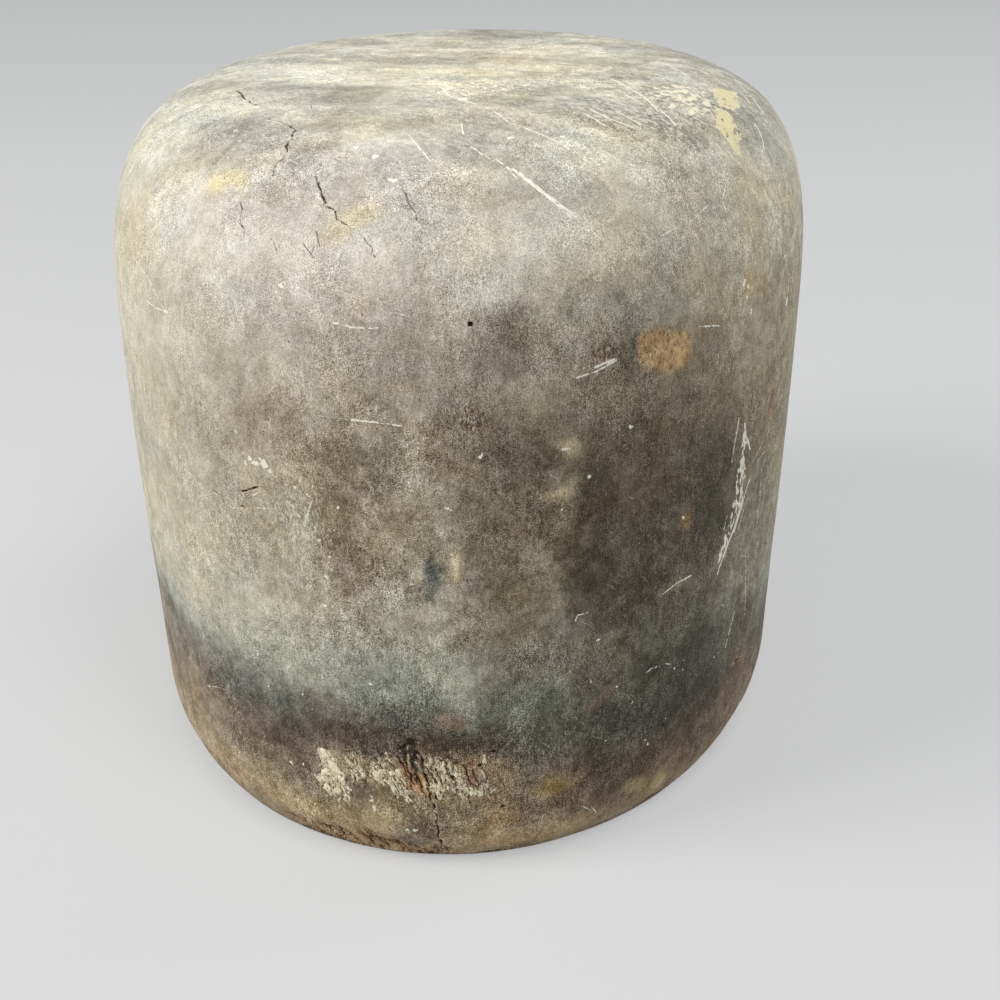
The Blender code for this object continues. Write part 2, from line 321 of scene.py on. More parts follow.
# Pale scratches and rubs: how strongly they show, width, and the run.
SCRATCHES = [
    (0.8, 0.32, on_crown((22.9, -76.2), (29.7, -78.8)) + on_side((28.1, 148.0))),
    (0.9, 0.30, on_crown((24.1, -76.3), (30.7, -78.7)) + on_side((28.7, 148.0))),
    (0.5, 0.26, on_crown((20.6, -74.6), (25.4, -78.3))),
    (0.9, 0.30, on_crown((34.2, -47.6), (39.0, -53.2))),
    (1.0, 0.30, on_crown((34.8, -44.2), (39.4, -48.6), (44.4, -51.1))),
    (0.9, 0.30, on_crown((40.2, -43.4), (45.6, -48.4))),
    (0.9, 0.34, on_crown((35.7, -12.5), (45.3, -31.0), (48.4, -38.3))),
    (0.8, 0.36, on_crown((48.6, -37.0), (52.4, -43.8))),
    (0.8, 0.34, on_crown((50.0, -23.4), (54.6, -29.0))),
    (0.7, 0.28, on_crown((16.4, -52.4), (20.8, -59.4), (33.6, -66.4))),
    (0.7, 0.28, on_crown((15.2, -72.2), (19.4, -75.2))), (0.7, 0.30, on_crown((2.6, -69.8), (8.4, -78.0))),
    (0.8, 0.50, on_crown((0.6, -30.4), (4.4, -39.6), (11.4, -46.8))),
    (0.6, 0.30, on_crown((11.4, -61.8), (13.0, -67.6))),
    (0.7, 0.32, on_crown((36.6, -22.0), (41.8, -31.4), (45.0, -35.4))),
    (0.8, 0.30, on_crown((54.2, -16.0), (56.8, -22.0), (63.2, -29.0))),
    (0.8, 0.36, on_crown((64.4, 4.4), (67.9, -2.4), (70.3, -9.0))),
    (0.7, 0.32, on_crown((64.8, -2.6), (67.2, -8.6))),
    (0.8, 0.40, on_crown((68.6, -20.4), (70.2, -23.6), (70.8, -27.2))),
    (0.6, 0.26, on_crown((54.6, 9.0), (59.0, 1.6), (62.0, -3.4))),
    (0.5, 0.30, on_crown((44, 14), (50, 4), (53, -4))),
    (0.5, 0.26, on_crown((26, -6), (31, -15), (34, -24))),
    (0.5, 0.28, on_crown((52, -70), (58, -62), (61, -56))),
    (0.9, 0.36, on_side((-2.4, 111.8), (0.8, 111.7), (4.4, 111.2))),
    (0.5, 0.24, on_side((-8.4, 112.0), (-5.0, 111.9), (-2.4, 111.8))),
    (0.7, 0.36, on_side((-4.5, 130.6), (-1.5, 130.0), (1.5, 130.2))),
    (0.5, 0.28, on_side((2.2, 132.0), (3.4, 133.2), (5.8, 132.6))),
    (0.7, 0.34, on_side((-45.6, 132.6), (-38.9, 130.0), (-36, 126.6), (-33.3, 124.4))),
    (0.6, 0.40, on_side((-40, 125.2), (-37, 124.9), (-33, 125.4))),
    (0.6, 0.40, on_side((-43.8, 106), (-44.2, 103), (-44, 100))),
    (0.9, 0.40, on_side((27.8, 118.7), (30.7, 119.4), (33.6, 120.9))),
    (0.6, 0.60, on_side((30.4, 120.2), (33.2, 121.2))),
    (0.2, 0.30, on_side((48.1, 120.5), (48.9, 116.5), (51.0, 114.0), (54.0, 113.2))),
    (0.5, 0.40, on_side((47.5, 123.2), (51.5, 121.8))),
    (0.7, 0.34, on_side((56.4, 147.8), (54.7, 145.7), (54.8, 143.2))),
    (0.5, 0.50, on_side((57.9, 98), (57.4, 93), (57.0, 88))),
    (1.0, 0.55, on_side((59.7, 95.5), (60.2, 93.0), (61.0, 90.9), (62.3, 87.8))),
    (0.9, 0.45, on_side((61.0, 90.9), (59.4, 90.2))),
    (0.6, 0.26, on_side((63.0, 83.4), (65.4, 85.3), (69.3, 88.0), (70.9, 89.5))),
    (0.6, 0.3, on_side((63.2, 79.0), (66.2, 83.0), (68.6, 83.4))),
    (0.8, 0.50, on_side((63.2, 79.4), (61.3, 74.4))),
    (1.0, 1.30, on_side((61.5, 75.0), (60.6, 71.6), (59.6, 69.0))),
    (0.9, 0.90, on_side((59.9, 70.0), (58.2, 66.4), (57.2, 64.0))),
    (0.8, 0.50, on_side((57.9, 66.0), (56.4, 61.7), (55.9, 60.2))),
    (0.6, 0.40, on_side((62.4, 72.6), (61.2, 68.0))), (0.5, 0.36, on_side((57.2, 74.4), (56.4, 70.6))),
    (0.5, 0.40, on_side((62.5, 45), (61.2, 40), (60.2, 36))),
    (0.6, 0.30, on_side((28.5, 63.5), (28.8, 64.9), (30.4, 65.0))),
    (0.5, 0.30, on_side((-35, 33.2), (-32.5, 35), (-30, 36))),
    (0.5, 0.30, on_side((-22.8, 86.8), (-18.7, 88.5), (-14.9, 89.7))),
    (0.6, 0.30, on_side((-19.9, 91.0), (-18.4, 91.6), (-17.0, 93.0))),
    (0.5, 0.36, on_side((-8.9, 93.1), (-9.8, 89.6), (-10.3, 87.0))),
    (0.5, 0.50, on_side((43.4, 63.2), (46.4, 64.4), (49.2, 64.4))),
    (0.7, 0.36, on_side((30.7, 12.9), (32.2, 10.6))), (0.6, 0.36, on_side((32.4, 11.6), (33.6, 8.6))),
    (0.6, 0.34, on_side((41.0, 44.0), (42.2, 44.6), (43.8, 44.2))),
    (0.7, 0.36, on_side((45.0, 44.0), (46.0, 43.2))),
    (0.5, 0.34, on_side((64.5, 60), (66.0, 50), (67.0, 40))),
    (0.4, 0.30, on_side((69.4, 64), (70.4, 50), (70.6, 38))),
    (0.4, 0.34, on_side((66.4, 108), (67.8, 98), (69.0, 90))),
    (0.4, 0.30, on_side((73.6, 141), (73.4, 130), (72.6, 118))),
    (0.4, 0.30, on_side((60.4, 58), (60.0, 50))), (0.5, 0.34, on_side((67.6, 80), (68.6, 70), (68.2, 60))),
    (0.5, 0.30, on_side((150, 60), (154, 84), (155, 96))),
    (0.6, 0.34, on_side((-120, 120), (-112, 112), (-104, 108))),
    (0.6, 0.34, on_side((118, 128), (126, 118), (131, 104))),
    (0.5, 0.34, on_side((-168, 96), (-160, 92), (-152, 93))),
    (0.5, 0.30, on_crown((-40, 30), (-30, 44), (-26, 52))),
    (0.6, 0.30, on_crown((10, 34), (18, 26), (24, 22))),
]
# Pale specks of glue and chalk: the kind of place, where on it, and half its width and height.
SPECKS = [
    (crown, 8.0, -42.6, 1.4, 2.2), (crown, 22.0, -66.6, 0.9, 0.6), (crown, -2.0, -77.6, 0.9, 0.9),
    (crown, -6.6, -75.0, 0.8, 0.6), (crown, 2.8, -83.2, 1.1, 0.6), (crown, 31.4, -62.4, 0.9, 0.7),
    (side, 3.7, 11.8, 0.8, 0.5), (side, -2.5, 17.0, 0.3, 0.9), (side, -2.8, 19.0, 0.3, 0.6),
    (side, -12.3, 136.3, 0.9, 0.5), (side, -10.8, 136.4, 0.7, 0.4), (side, -9.7, 136.3, 0.5, 0.3),
    (side, -19.5, 98.3, 0.5, 0.4), (side, -18.6, 99.7, 0.8, 0.8), (side, -17.6, 98.9, 1.1, 0.7),
    (side, -16.9, 100.3, 0.5, 0.4), (side, -16.2, 99.3, 1.1, 1.1), (side, -15.2, 98.2, 0.6, 0.6),
    (side, -17.9, 97.9, 0.3, 0.3), (side, -15.0, 99.8, 0.3, 0.3), (side, -20.8, 104.9, 0.5, 0.5),
    (side, -12.0, 91.4, 0.3, 0.3), (side, -11.1, 89.2, 0.3, 0.4), (side, -9.6, 90.6, 0.3, 0.3),
    (side, -8.3, 84.4, 0.4, 0.3), (side, -9.9, 82.6, 0.3, 0.3), (side, -6.9, 80.8, 0.3, 0.4),
    (side, -9.0, 78.4, 0.3, 0.3), (side, -5.8, 86.9, 0.3, 0.3), (side, -11.4, 95.5, 0.6, 0.5),
    (side, -10.6, 97.2, 0.4, 0.6), (side, -8.7, 96.4, 0.5, 0.5), (side, -9.4, 94.4, 0.4, 0.4),
    (side, -5.1, 92.6, 0.7, 0.4), (side, -7.6, 75.9, 0.5, 0.5), (side, -8.3, 69.1, 0.6, 0.4),
    (side, 10.2, 93.4, 0.6, 0.4), (side, 57.4, 128.4, 0.7, 1.1), (side, 58.4, 127.2, 0.8, 0.7),
    (side, 58.2, 124.9, 0.5, 0.6), (side, 59.2, 121.4, 0.4, 1.0), (side, 72.4, 117.6, 0.9, 1.5),
    (side, 26.4, 104.2, 1.2, 0.5), (side, 36.2, 106.0, 0.6, 0.5), (side, 29.9, 97.3, 0.5, 0.7),
    (side, 26.0, 90.8, 0.6, 0.4), (side, 14.8, 104.6, 0.5, 0.6), (side, 32.2, 57.5, 0.7, 0.4),
    (side, 31.4, 47.2, 0.4, 0.4), (side, 35.8, 43.5, 0.5, 0.4), (side, 38.7, 37.7, 0.3, 0.3),
    (side, 43.0, 44.4, 0.4, 0.4), (side, 47.1, 41.4, 0.5, 0.4), (side, 49.0, 39.2, 0.4, 0.3),
    (side, 34.5, 29.7, 0.5, 0.3), (side, 42.3, 23.6, 0.4, 0.7), (side, 41.7, 24.9, 0.4, 0.4),
    (side, 45.9, 28.2, 0.3, 0.6), (side, -13.4, 44.4, 0.5, 0.4), (side, -19.8, 43.6, 0.4, 0.3),
    (side, -15.2, 51.0, 0.4, 0.5), (side, -1.9, 50.6, 0.8, 0.4), (side, 46.6, 80.4, 0.4, 0.9),
    (side, 57.0, 36.6, 0.4, 0.4), (side, 58.2, 50, 0.3, 0.4), (side, 64.4, 62.8, 0.3, 0.5),
    (side, 72.8, 120, 0.4, 0.9), (side, 2.6, 11.6, 0.6, 0.4), (side, -16.9, 24.2, 0.6, 0.5),
    (side, -14.3, 24.8, 0.3, 0.8), (side, -6.6, 18.0, 0.3, 1.0), (side, -2.9, 19.6, 0.3, 1.2),
    (side, -2.6, 17.2, 0.6, 0.5), (side, -8.4, 17.6, 0.3, 1.0), (side, -30.5, 31.6, 0.3, 0.4),
    (side, 128, 96, 0.6, 0.5), (side, -140, 110, 0.6, 0.6), (side, -132, 64, 0.5, 0.4),
    (side, 104, 72, 0.5, 0.6), (side, 172, 120, 0.7, 0.4), (crown, 14, 12, 0.8, 0.8),
]
# Outlines of the larger marks. The torn crust of the pin band, each patch with how full of pale fibres
# it is; the dark heart of the knot and the rusty fibres under it; and what was rubbed, spilt or scored.
CRUST = [
    (1.0, on_side((-11.3, 30.3), (-9.5, 31.0), (-8.6, 28.0), (-7.1, 23.9), (-9.1, 18.0), (-12.1, 21.5),
        (-10.8, 25.5))),
    (0.8, on_side((-7.3, 23.8), (-6.7, 20.9), (-7.0, 18.0), (-6.4, 15.9), (-7.4, 17.8), (-7.7, 21.1))),
    (0.50, on_side((-7.1, 31.3), (-5.6, 31.5), (-5.4, 29.2), (-4.1, 27.3), (-2.4, 29.4), (-1.6, 31.5),
        (0.5, 33.3), (0.5, 27.8), (-1.9, 25.4), (-5.9, 23.7), (-6.3, 27.2))),
    (0.75, on_side((-2.0, 27.3), (0.6, 28.9), (2.0, 28.1), (3.1, 24.1), (3.6, 18.8), (2.8, 20.4),
        (1.5, 21.3), (0.0, 24.4), (-2.0, 24.8))),
    (0.6, on_side((5.9, 32.3), (7.6, 32.6), (9.5, 30.7), (9.1, 23.0), (8.0, 20.8), (6.8, 23.0),
        (6.6, 27.7))),
    (0.5, on_side((9.2, 31.2), (10.6, 30.6), (11.4, 26.8), (12.6, 24.4), (14.2, 23.1), (14.3, 21.2),
        (12.0, 20.6), (9.9, 21.6), (9.0, 24.1))),
    (0.6, on_side((14.5, 32.2), (15.1, 32.1), (15.2, 24.4), (16.3, 21.9), (15.7, 20.7), (14.8, 21.7),
        (13.5, 21.3), (13.9, 23.7), (14.8, 24.4))),
]
KNOT_HEART = on_side((3.4, 37.5), (4.3, 36.7), (4.9, 33.8), (5.7, 31.2), (5.7, 28.4), (6.5, 25.2),
                     (5.5, 26.5), (4.9, 28.7), (4.3, 27.2), (3.4, 29.3), (2.8, 29.3), (2.4, 32.2),
                     (1.5, 34.5), (2.6, 35.5))
KNOT_LOOPS = [
    (0.35, on_side((3.4, 34.9), (3.2, 34.0))), (0.35, on_side((3.3, 32.3), (3.2, 30.7), (3.5, 29.6))),
    (0.35, on_side((4.7, 32.5), (5.1, 31.1), (4.9, 29.5), (4.5, 30.6))),
]
RUSTY_FIBRES = on_side((1.6, 30.7), (2.7, 31.4), (3.2, 28.8), (4.4, 27.5), (5.8, 26.8), (6.7, 23.5),
                       (6.4, 20.7), (5.5, 21.5), (4.0, 23.3), (2.5, 25.1), (1.8, 27.8))
GLUE = [
    on_crown((59.1, -9.5), (61.3, -7.2), (63.8, -5.2), (64.7, -11.8), (64.5, -19.2), (63.0, -22.5),
        (60.8, -22.3), (59.6, -16.6)),
    on_crown((60.2, -25.2), (62.4, -24.2), (63.6, -27.2), (65.6, -31.6), (65.6, -33.6), (65.1, -36.4),
        (66.1, -38.8), (64.1, -38.6), (62.5, -37.1), (60.8, -36.5), (60.2, -29.8)),
]
RUBBED_ROUND = on_side((37.3, 125.4), (39.6, 125.6), (42.5, 124.2), (45.0, 122.5), (45.8, 119.9),
                       (45.7, 116.8), (44.3, 115.9), (41.2, 116.2), (38.5, 117.7), (37.2, 120.2),
                       (36.8, 123.0))
LONG_GRAZE = on_side((59.7, 94.0), (61.2, 91.7), (60.4, 88.3), (62.0, 82.8), (60.9, 79.2), (62.2, 75.8),
                     (60.4, 73.2), (58.9, 69.8), (56.9, 64.5), (55.6, 62.1), (55.8, 65.1), (57.3, 69.8),
                     (58.4, 74.9), (58.9, 78.7), (59.0, 84.7), (59.4, 89.4))
OUTLINES = [outline for share, outline in CRUST] + [KNOT_HEART, RUSTY_FIBRES, RUBBED_ROUND, LONG_GRAZE] + GLUE


def distance_to(line, points):
    """Distance over the surface from each point to a line of places, in mm."""
    nearest = np.full(len(points), 1e6)
    joints = [place[0] for place in line]
    low, high = np.min(joints, axis=0) - 6, np.max(joints, axis=0) + 6
    close = np.all((points > low) & (points < high), axis=1)
    q = points[close]
    best = np.full(len(q), 1e6)
    for (start, *_, out), (end, *_, next_out) in zip(line, line[1:]):
        step = end - start
        share = np.clip((q - start) @ step / (step @ step), 0, 1)[:, None]
        gap, normal = q - start - share * step, out + share * (next_out - out)
        gap -= normal * (np.sum(gap * normal, axis=1) / np.sum(normal * normal, axis=1))[:, None]
        best = np.minimum(best, np.linalg.norm(gap, axis=1))
    nearest[close] = best
    return nearest


def inside(outline, points, wobble=None):
    """How deep each point is inside a closed outline of places, in mm; less than 0 is outside."""
    corners = np.array([corner[0] for corner in outline])
    middle, out = corners.mean(axis=0), np.mean([corner[3] for corner in outline], axis=0)
    right = outline[0][1] - out * (out @ outline[0][1]) / (out @ out)
    right = right / np.linalg.norm(right)
    up = np.cross(out, right) / np.linalg.norm(out)
    field = np.full(len(points), -9.0)
    size = np.linalg.norm(corners - middle, axis=1).max()
    near = np.flatnonzero(np.linalg.norm(points - middle, axis=1) < size + 4)
    d = points[near] - middle
    if wobble is not None:
        d = d + wobble[near]
    u, v = d @ right, d @ up
    edge_u, edge_v = (corners - middle) @ right, (corners - middle) @ up
    gap, within = np.full(len(near), 1e6), np.zeros(len(near), bool)
    for a, b, c, e in zip(edge_u, edge_v, np.roll(edge_u, -1), np.roll(edge_v, -1)):
        share = np.clip(((u - a) * (c - a) + (v - b) * (e - b)) / ((c - a) ** 2 + (e - b) ** 2), 0, 1)
        gap = np.minimum(gap, np.hypot(u - a - share * (c - a), v - b - share * (e - b)))
        if b != e:
            within ^= ((b > v) != (e > v)) & (u < (c - a) * (v - b) / (e - b) + a)
    field[near] = np.where(within, gap, -gap)
    return field


tack_ends = []
for name in TACKS:
    tack_low, tack_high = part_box(name)
    middle = (tack_low + tack_high) / 2 / MM
    tack_ends.append(side(math.degrees(math.atan2(middle.x, -middle.y / OVAL)), middle.z))


def needs_detail(points, level):
    """Which points of the skin lie where the timber is checked, torn, scored or split, or holds a tack."""
    reach = (2.0, 0.9, 0.35)[level]
    wanted = np.zeros(len(points), bool)
    if level == 0:
        wanted |= (points[:, 2] < 10) & (points[:, 2] > 0.05)
    runs = CHECKS + KNOT_LINES + GOUGES
    if level < 2:
        runs = runs + [(width, run) for strength, width, run in SCRATCHES]
    for width, run in runs:
        wanted |= distance_to(run, points) < reach + width / 2
    for point, right, up, out in tack_ends:
        wanted |= np.linalg.norm(points - point, axis=1) < reach + 1.0
    if level == 2:
        return wanted
    for outline in OUTLINES:
        wanted |= inside(outline, points) > -reach
    for kind, across, along, wide, tall in SPECKS:
        point, right, up, out = kind(across, along)
        d = points - point
        share = np.hypot(d @ right / (wide * 1.2 + reach), d @ up / (tall * 1.2 + reach))
        wanted |= (share < 1) & (np.abs(d @ out) < 6)
    return wanted


skin = bmesh.new()
skin.from_mesh(block_mesh)
for level in (0, 1, 2):
    middles = np.array([face.calc_center_median() for face in skin.faces])
    skin.faces.ensure_lookup_table()
    chosen = np.flatnonzero(needs_detail(middles, level))
    fine = {edge for number in chosen for edge in skin.faces[number].edges}
    bmesh.ops.subdivide_edges(skin, edges=list(fine), cuts=1, use_grid_fill=True)
skin.normal_update()
skin.to_mesh(block_mesh)
skin.free()

count = len(block_mesh.vertices)
place = np.empty(count * 3)
block_mesh.vertices.foreach_get("co", place)
place = place.reshape(-1, 3)
facing = np.empty(count * 3)
block_mesh.vertices.foreach_get("normal", facing)
facing = facing.reshape(-1, 3)


# Large numbers that stir the place of a cell of noise into a value that looks random.
STIR_PLACE = np.array([374761393, 668265263, 1442695041])
STIR_SEED = 1013904223
STIR_AGAIN = 1274126177


def mottle(points, grain, seed, layers=3):
    """Cloudy noise from -1 to 1; grain is the size of a cloud in mm, the same or one for each axis."""
    total, strength, sum_of_strengths = np.zeros(len(points)), 1.0, 0.0
    for layer in range(layers):
        q = points / np.asarray(grain, float) * 2 ** layer + 19.7 * layer
        cell = np.floor(q).astype(np.int64)
        share = q - cell
        share = share * share * (3 - 2 * share)
        value = np.zeros(len(points))
        for corner in range(8):
            step = np.array([corner & 1, corner >> 1 & 1, corner >> 2])
            key = (cell + step) @ STIR_PLACE + (seed + layer) * STIR_SEED
            key = (key ^ (key >> 13)) & 0xFFFFFFFF
            key = (key * STIR_AGAIN) & 0xFFFFFFFF
            key = (key ^ (key >> 16)) & 0xFFFF
            weight = np.prod(np.where(step, share, 1 - share), axis=1)
            value += weight * (key / 32767.5 - 1)
        total += value * strength
        sum_of_strengths += strength
        strength *= 0.55
    return total / sum_of_strengths * 1.6


def in_threes(grain, seed, layers):
    """Three noises over the skin side by side, as a shift along each axis."""
    return np.stack([mottle(place, grain, seed + number, layers) for number in (0, 1, 2)], -1)


def patch(at, wide, tall, soft, turn=0, bent=0.0):
    """How far each point is inside an oval patch, 0 to 1; wide and tall are half sizes in mm."""
    point, right, up, out = at
    d = place - point
    if bent:
        d = d + wander * bent
    lean = math.radians(turn)
    u, v = d @ right, d @ up
    u, v = u * math.cos(lean) + v * math.sin(lean), v * math.cos(lean) - u * math.sin(lean)
    through = d @ out / (max(wide, tall) + 4)
    reach = np.sqrt((u / wide) ** 2 + (v / tall) ** 2 + through ** 2)
    near = np.flatnonzero(reach < 1 + 5 * soft)
    weight = np.zeros(count)
    weight[near] = 1 / (1 + np.exp(np.clip((reach[near] - 1) / (soft * 0.5), -40, 40)))
    return weight


def patches(*spots):
    """Soft patches added up; each spot is its strength, place, half width, half height and softness."""
    return sum(strength * patch(at, wide, tall, soft) for strength, at, wide, tall, soft in spots)


def held(value):
    """A value held between 0 and 1."""
    return np.clip(value, 0, 1)


# Relief, as a depth below the carved surface in mm: the carver's slight unevenness and a fuller left
# side, then the worn foot with its frayed and split fibres, which lean as the grain does.
FOOT_WEAR_HEIGHT = 10.0
FRAYED_HEIGHT = 10.5
GRAIN_LEAN = 0.4
on_the_side = np.abs(facing[:, 2]) < 0.8
far_from_axis = np.hypot(place[:, 0], place[:, 1])
faces_down = facing[:, 2] < -0.9
hidden = faces_down | (far_from_axis < POCKET_RADIUS + 1) & (place[:, 2] < HOLE_DEPTH + 8)
depth = -0.20 * mottle(place, 34, 11, 2) - 0.06 * mottle(place, 8, 12, 3)
depth -= patch(side(-60, 90), 55, 45, 0.9)
leaning = place + np.outer(place[:, 2] * GRAIN_LEAN, [1, 0, 0])
splits = held(1.25 - 4.2 * np.abs(mottle(leaning, (1.2, 1.8, 5.0), 21, 2)))
frayed = held(0.15 + patch(side(-6, 1), 17, 7, 0.3) + 0.4 * mottle(place, (6, 6, 30), 23, 2))
frayed *= held((FRAYED_HEIGHT + 1.5 * mottle(place, (3, 3, 9), 24) - place[:, 2]) / 3) * on_the_side
worn_foot = held(1 - place[:, 2] / FOOT_WEAR_HEIGHT) * on_the_side
depth += worn_foot * (0.15 + 0.7 * held(mottle(place, 11, 22))) + 0.7 * splits * frayed


def marked(runs, soft, jog, seed):
    """A field that is 0.5 at the edge of the scored runs and more inside; they jog as real splits do."""
    field = np.zeros(count)
    for number, (width, run) in enumerate(runs):
        close = np.flatnonzero(distance_to(run, place) < width + 2.2)
        near = place[close]
        shift_x, shift_y = [mottle(near, 1.6, seed + number + more, 2) for more in (0, 50)]
        gap = distance_to(run, near + jog * np.stack([shift_x, shift_y, 0 * shift_x], -1))
        field[close] = np.maximum(field[close], 0.5 + (width / 2 - gap) / soft)
    return field


def breaks(grain, seed, share, sharp):
    """Noise that stops and starts: 1 over the given share of the surface, 0 elsewhere, with soft ends."""
    return np.clip((mottle(place, grain, seed, 2) + 2 * share - 1) * sharp + 0.5, 0, 1)


# Checks, the knot's lines and the gouges are cuts with steep walls, and their rims curl up a little.
CUT_DEPTH = 0.6
RIM_HEIGHT = 0.05


def walled(field):
    """The depth of a cut whose field is 0.5 at its edge."""
    return CUT_DEPTH * held((field - 0.42) * 5)


check = marked(CHECKS, 0.5, 0.40, 300)
check -= 0.35 * (1 - breaks(0.9, 393, 0.70, 5)) * (check > 0)
knot = marked(KNOT_LINES, 0.9, 0.35, 400)
gouge = marked(GOUGES, 0.6, 0.30, 450)
gouge = np.minimum(gouge - 0.4 * (1 - breaks(0.6, 394, 0.60, 4)) * (gouge > 0), 0.63)
cuts = np.maximum.reduce([check, knot, gouge])
depth += walled(cuts)
rim = held(1 - np.abs(marked(CHECKS + GOUGES, 1.0, 0.40, 300) - 0.22) / 0.22) * breaks(1.1, 391, 0.55, 2)
depth -= rim * RIM_HEIGHT

# The torn band: pale fibres stand up where it is full of them, with cracks between, and the heart and
# the rusty fibres of the knot lie deeper. Its outlines end in strands, as torn timber does.
ragged_edge = 0.7 * in_threes(1.5, 41, 3)
strands = ragged_edge + np.outer(1.3 * mottle(leaning, (0.7, 0.7, 6.0), 46, 2), [0, 0, 1])
vein = held(1 - 3.0 * np.abs(mottle(leaning, (0.9, 0.9, 3.4), 33, 3)))
crumb = mottle(place, (0.55, 0.55, 1.5), 31, 3)
torn, fullness = np.zeros(count), np.zeros(count)
for share, outline in CRUST:
    weight = held(0.5 + (inside(outline, place, strands) + 0.4) / 0.9)
    torn, fullness = np.maximum(torn, weight), np.maximum(fullness, weight * share)
crust = torn * held(0.08 + 0.52 * fullness + 0.36 * vein + 0.28 * crumb)
crack = held(1 - 3.4 * np.abs(mottle(leaning, (0.9, 0.9, 3.8), 34, 3))) * torn
depth += torn * (0.20 - 0.5 * (crust - 0.4)) + 0.35 * crack
loops = held(marked(KNOT_LOOPS, 0.5, 0.2, 430))
heart = held(0.5 + inside(KNOT_HEART, place, 0.6 * ragged_edge) / 0.6) * (1 - 0.8 * loops)
rusty = held(0.5 + inside(RUSTY_FIBRES, place, ragged_edge) / 0.9)
fibre = mottle(leaning, (0.6, 0.6, 4.5), 35, 3)
depth += 0.5 * heart + rusty * (0.25 - 0.3 * fibre)

# A square pit over the end of each tack shank, and the sawn base, which is flat but for its checks.
PIT_HALF_WIDTH = 0.42
PIT_DEPTH = 1.4
pit = np.zeros(count)
for point, right, up, out in tack_ends:
    d = place - point
    across = ((d @ right) ** 4 + (d @ up) ** 4) ** 0.25
    pit = np.maximum(pit, held(0.5 + (PIT_HALF_WIDTH - across) / 0.5) * (np.abs(d @ out) < 3))
depth += PIT_DEPTH * held((pit - 0.35) * 4)
depth = np.where(hidden, 0, depth) + faces_down * (far_from_axis > POCKET_RADIUS + 1) * walled(check)
shaped = place - facing * depth[:, None]
shaped[:, 2] = np.maximum(shaped[:, 2], 0)
block_mesh.vertices.foreach_set("co", (shaped * MM).ravel())
block_mesh.polygons.foreach_set("use_smooth", np.ones(len(block_mesh.polygons), bool))
block_mesh.update()


def shade(red, green, blue):
    """A colour as the eye names it, 0 to 255, as the light it returns."""
    seen = np.array([red, green, blue]) / 255
    return np.where(seen < 0.04045, seen / 12.92, ((seen + 0.055) / 1.055) ** 2.4)


# Colour of the timber: the tide line of the damp felt runs round it above the foot, with dirt held
# below it and bare timber rubbed clean at the very foot. Higher up it pales towards the end grain.
angle = np.degrees(np.arctan2(place[:, 0], -place[:, 1] / OVAL))
tide = 47 - 8.0 * np.sin(np.radians(angle)) + 3.0 * mottle(place, (24, 24, 60), 71, 2)
above_tide = place[:, 2] - tide + 2.2 * mottle(place, (4, 4, 8), 72, 3)
# The height above the tide line, in mm, and the colour of the side there.
SIDE_TONES = [
    (-50, (150, 132, 104)), (-43, (168, 148, 116)), (-36, (164, 144, 112)), (-29, (128, 111, 86)),
    (-22, (110, 96, 76)), (-12, (92, 84, 70)), (-6, (110, 108, 98)), (0, (150, 154, 140)),
    (6, (170, 169, 152)), (22, (166, 159, 139)), (46, (161, 152, 131)), (62, (170, 162, 142)),
    (76, (186, 180, 160)), (88, (204, 199, 180)),
]
tone_heights = [height for height, tone in SIDE_TONES]
tones = np.array([shade(*tone) for height, tone in SIDE_TONES])
tint = np.stack([np.interp(above_tide, tone_heights, tones[:, n]) for n in range(3)], -1)
TOP_BEGINS = 143.0
top_share = held((place[:, 2] + 3 * mottle(place, 12, 73) - TOP_BEGINS) / 12)
tint = tint * (1 - top_share[:, None]) + shade(191, 188, 171) * top_share[:, None]
flecks = np.full(count, 0.10)
pores = np.full(count, 0.10)
wander = 2.2 * in_threes(7, 501, 4)
blots = in_threes((6, 6, 8), 81, 5)
stains_so_far = 0


def stain(colour, at, wide, tall, strength, flecked=0.0, pored=0.0, turn=0, soft=0.5, edge=1.0):
    """Lays a colour over a patch with a wandering edge, and pale flecks or dark pores with it."""
    global tint, flecks, pores, stains_so_far
    weight = patch(at, wide, tall, soft, turn, edge)
    weight = held(weight + 1.7 * blots[:, stains_so_far % 3] * weight * (1 - weight))
    stains_so_far += 1
    flecks, pores = flecks + flecked * weight, pores + pored * weight
    weight = (weight * strength)[:, None]
    tint = tint * (1 - weight) + shade(*colour) * weight


# The left flank is bleached, down to the tide line; a pale band on its shoulder is painted sheen.
stain((206, 200, 177), side(-50, 110), 34, 46, 0.85, soft=0.9)
stain((214, 208, 186), side(-51, 121), 11, 15, 0.6, soft=0.9)
stain((206, 201, 178), side(-38, 66), 24, 12, 0.85, soft=0.9)
stain((196, 196, 176), side(-26, 56), 11, 5, 0.6)
stain((178, 160, 138), side(-52, 137), 5, 3, 0.4)
# The next two are painted sheen: pale bands along the front-left shoulder, where the soft light glances.
stain((222, 218, 200), side(-36, 143), 20, 7, 0.5, soft=0.9)
stain((200, 196, 180), side(-14, 139), 14, 6, 0.45, soft=0.9)
stain((190, 184, 168), side(-8, 128), 12, 8, 0.4, soft=0.9)
stain((178, 170, 148), side(-16, 92), 10, 12, 0.55, flecked=0.25)
stain((190, 184, 166), side(-35, 90), 14, 16, 0.4, soft=0.9)

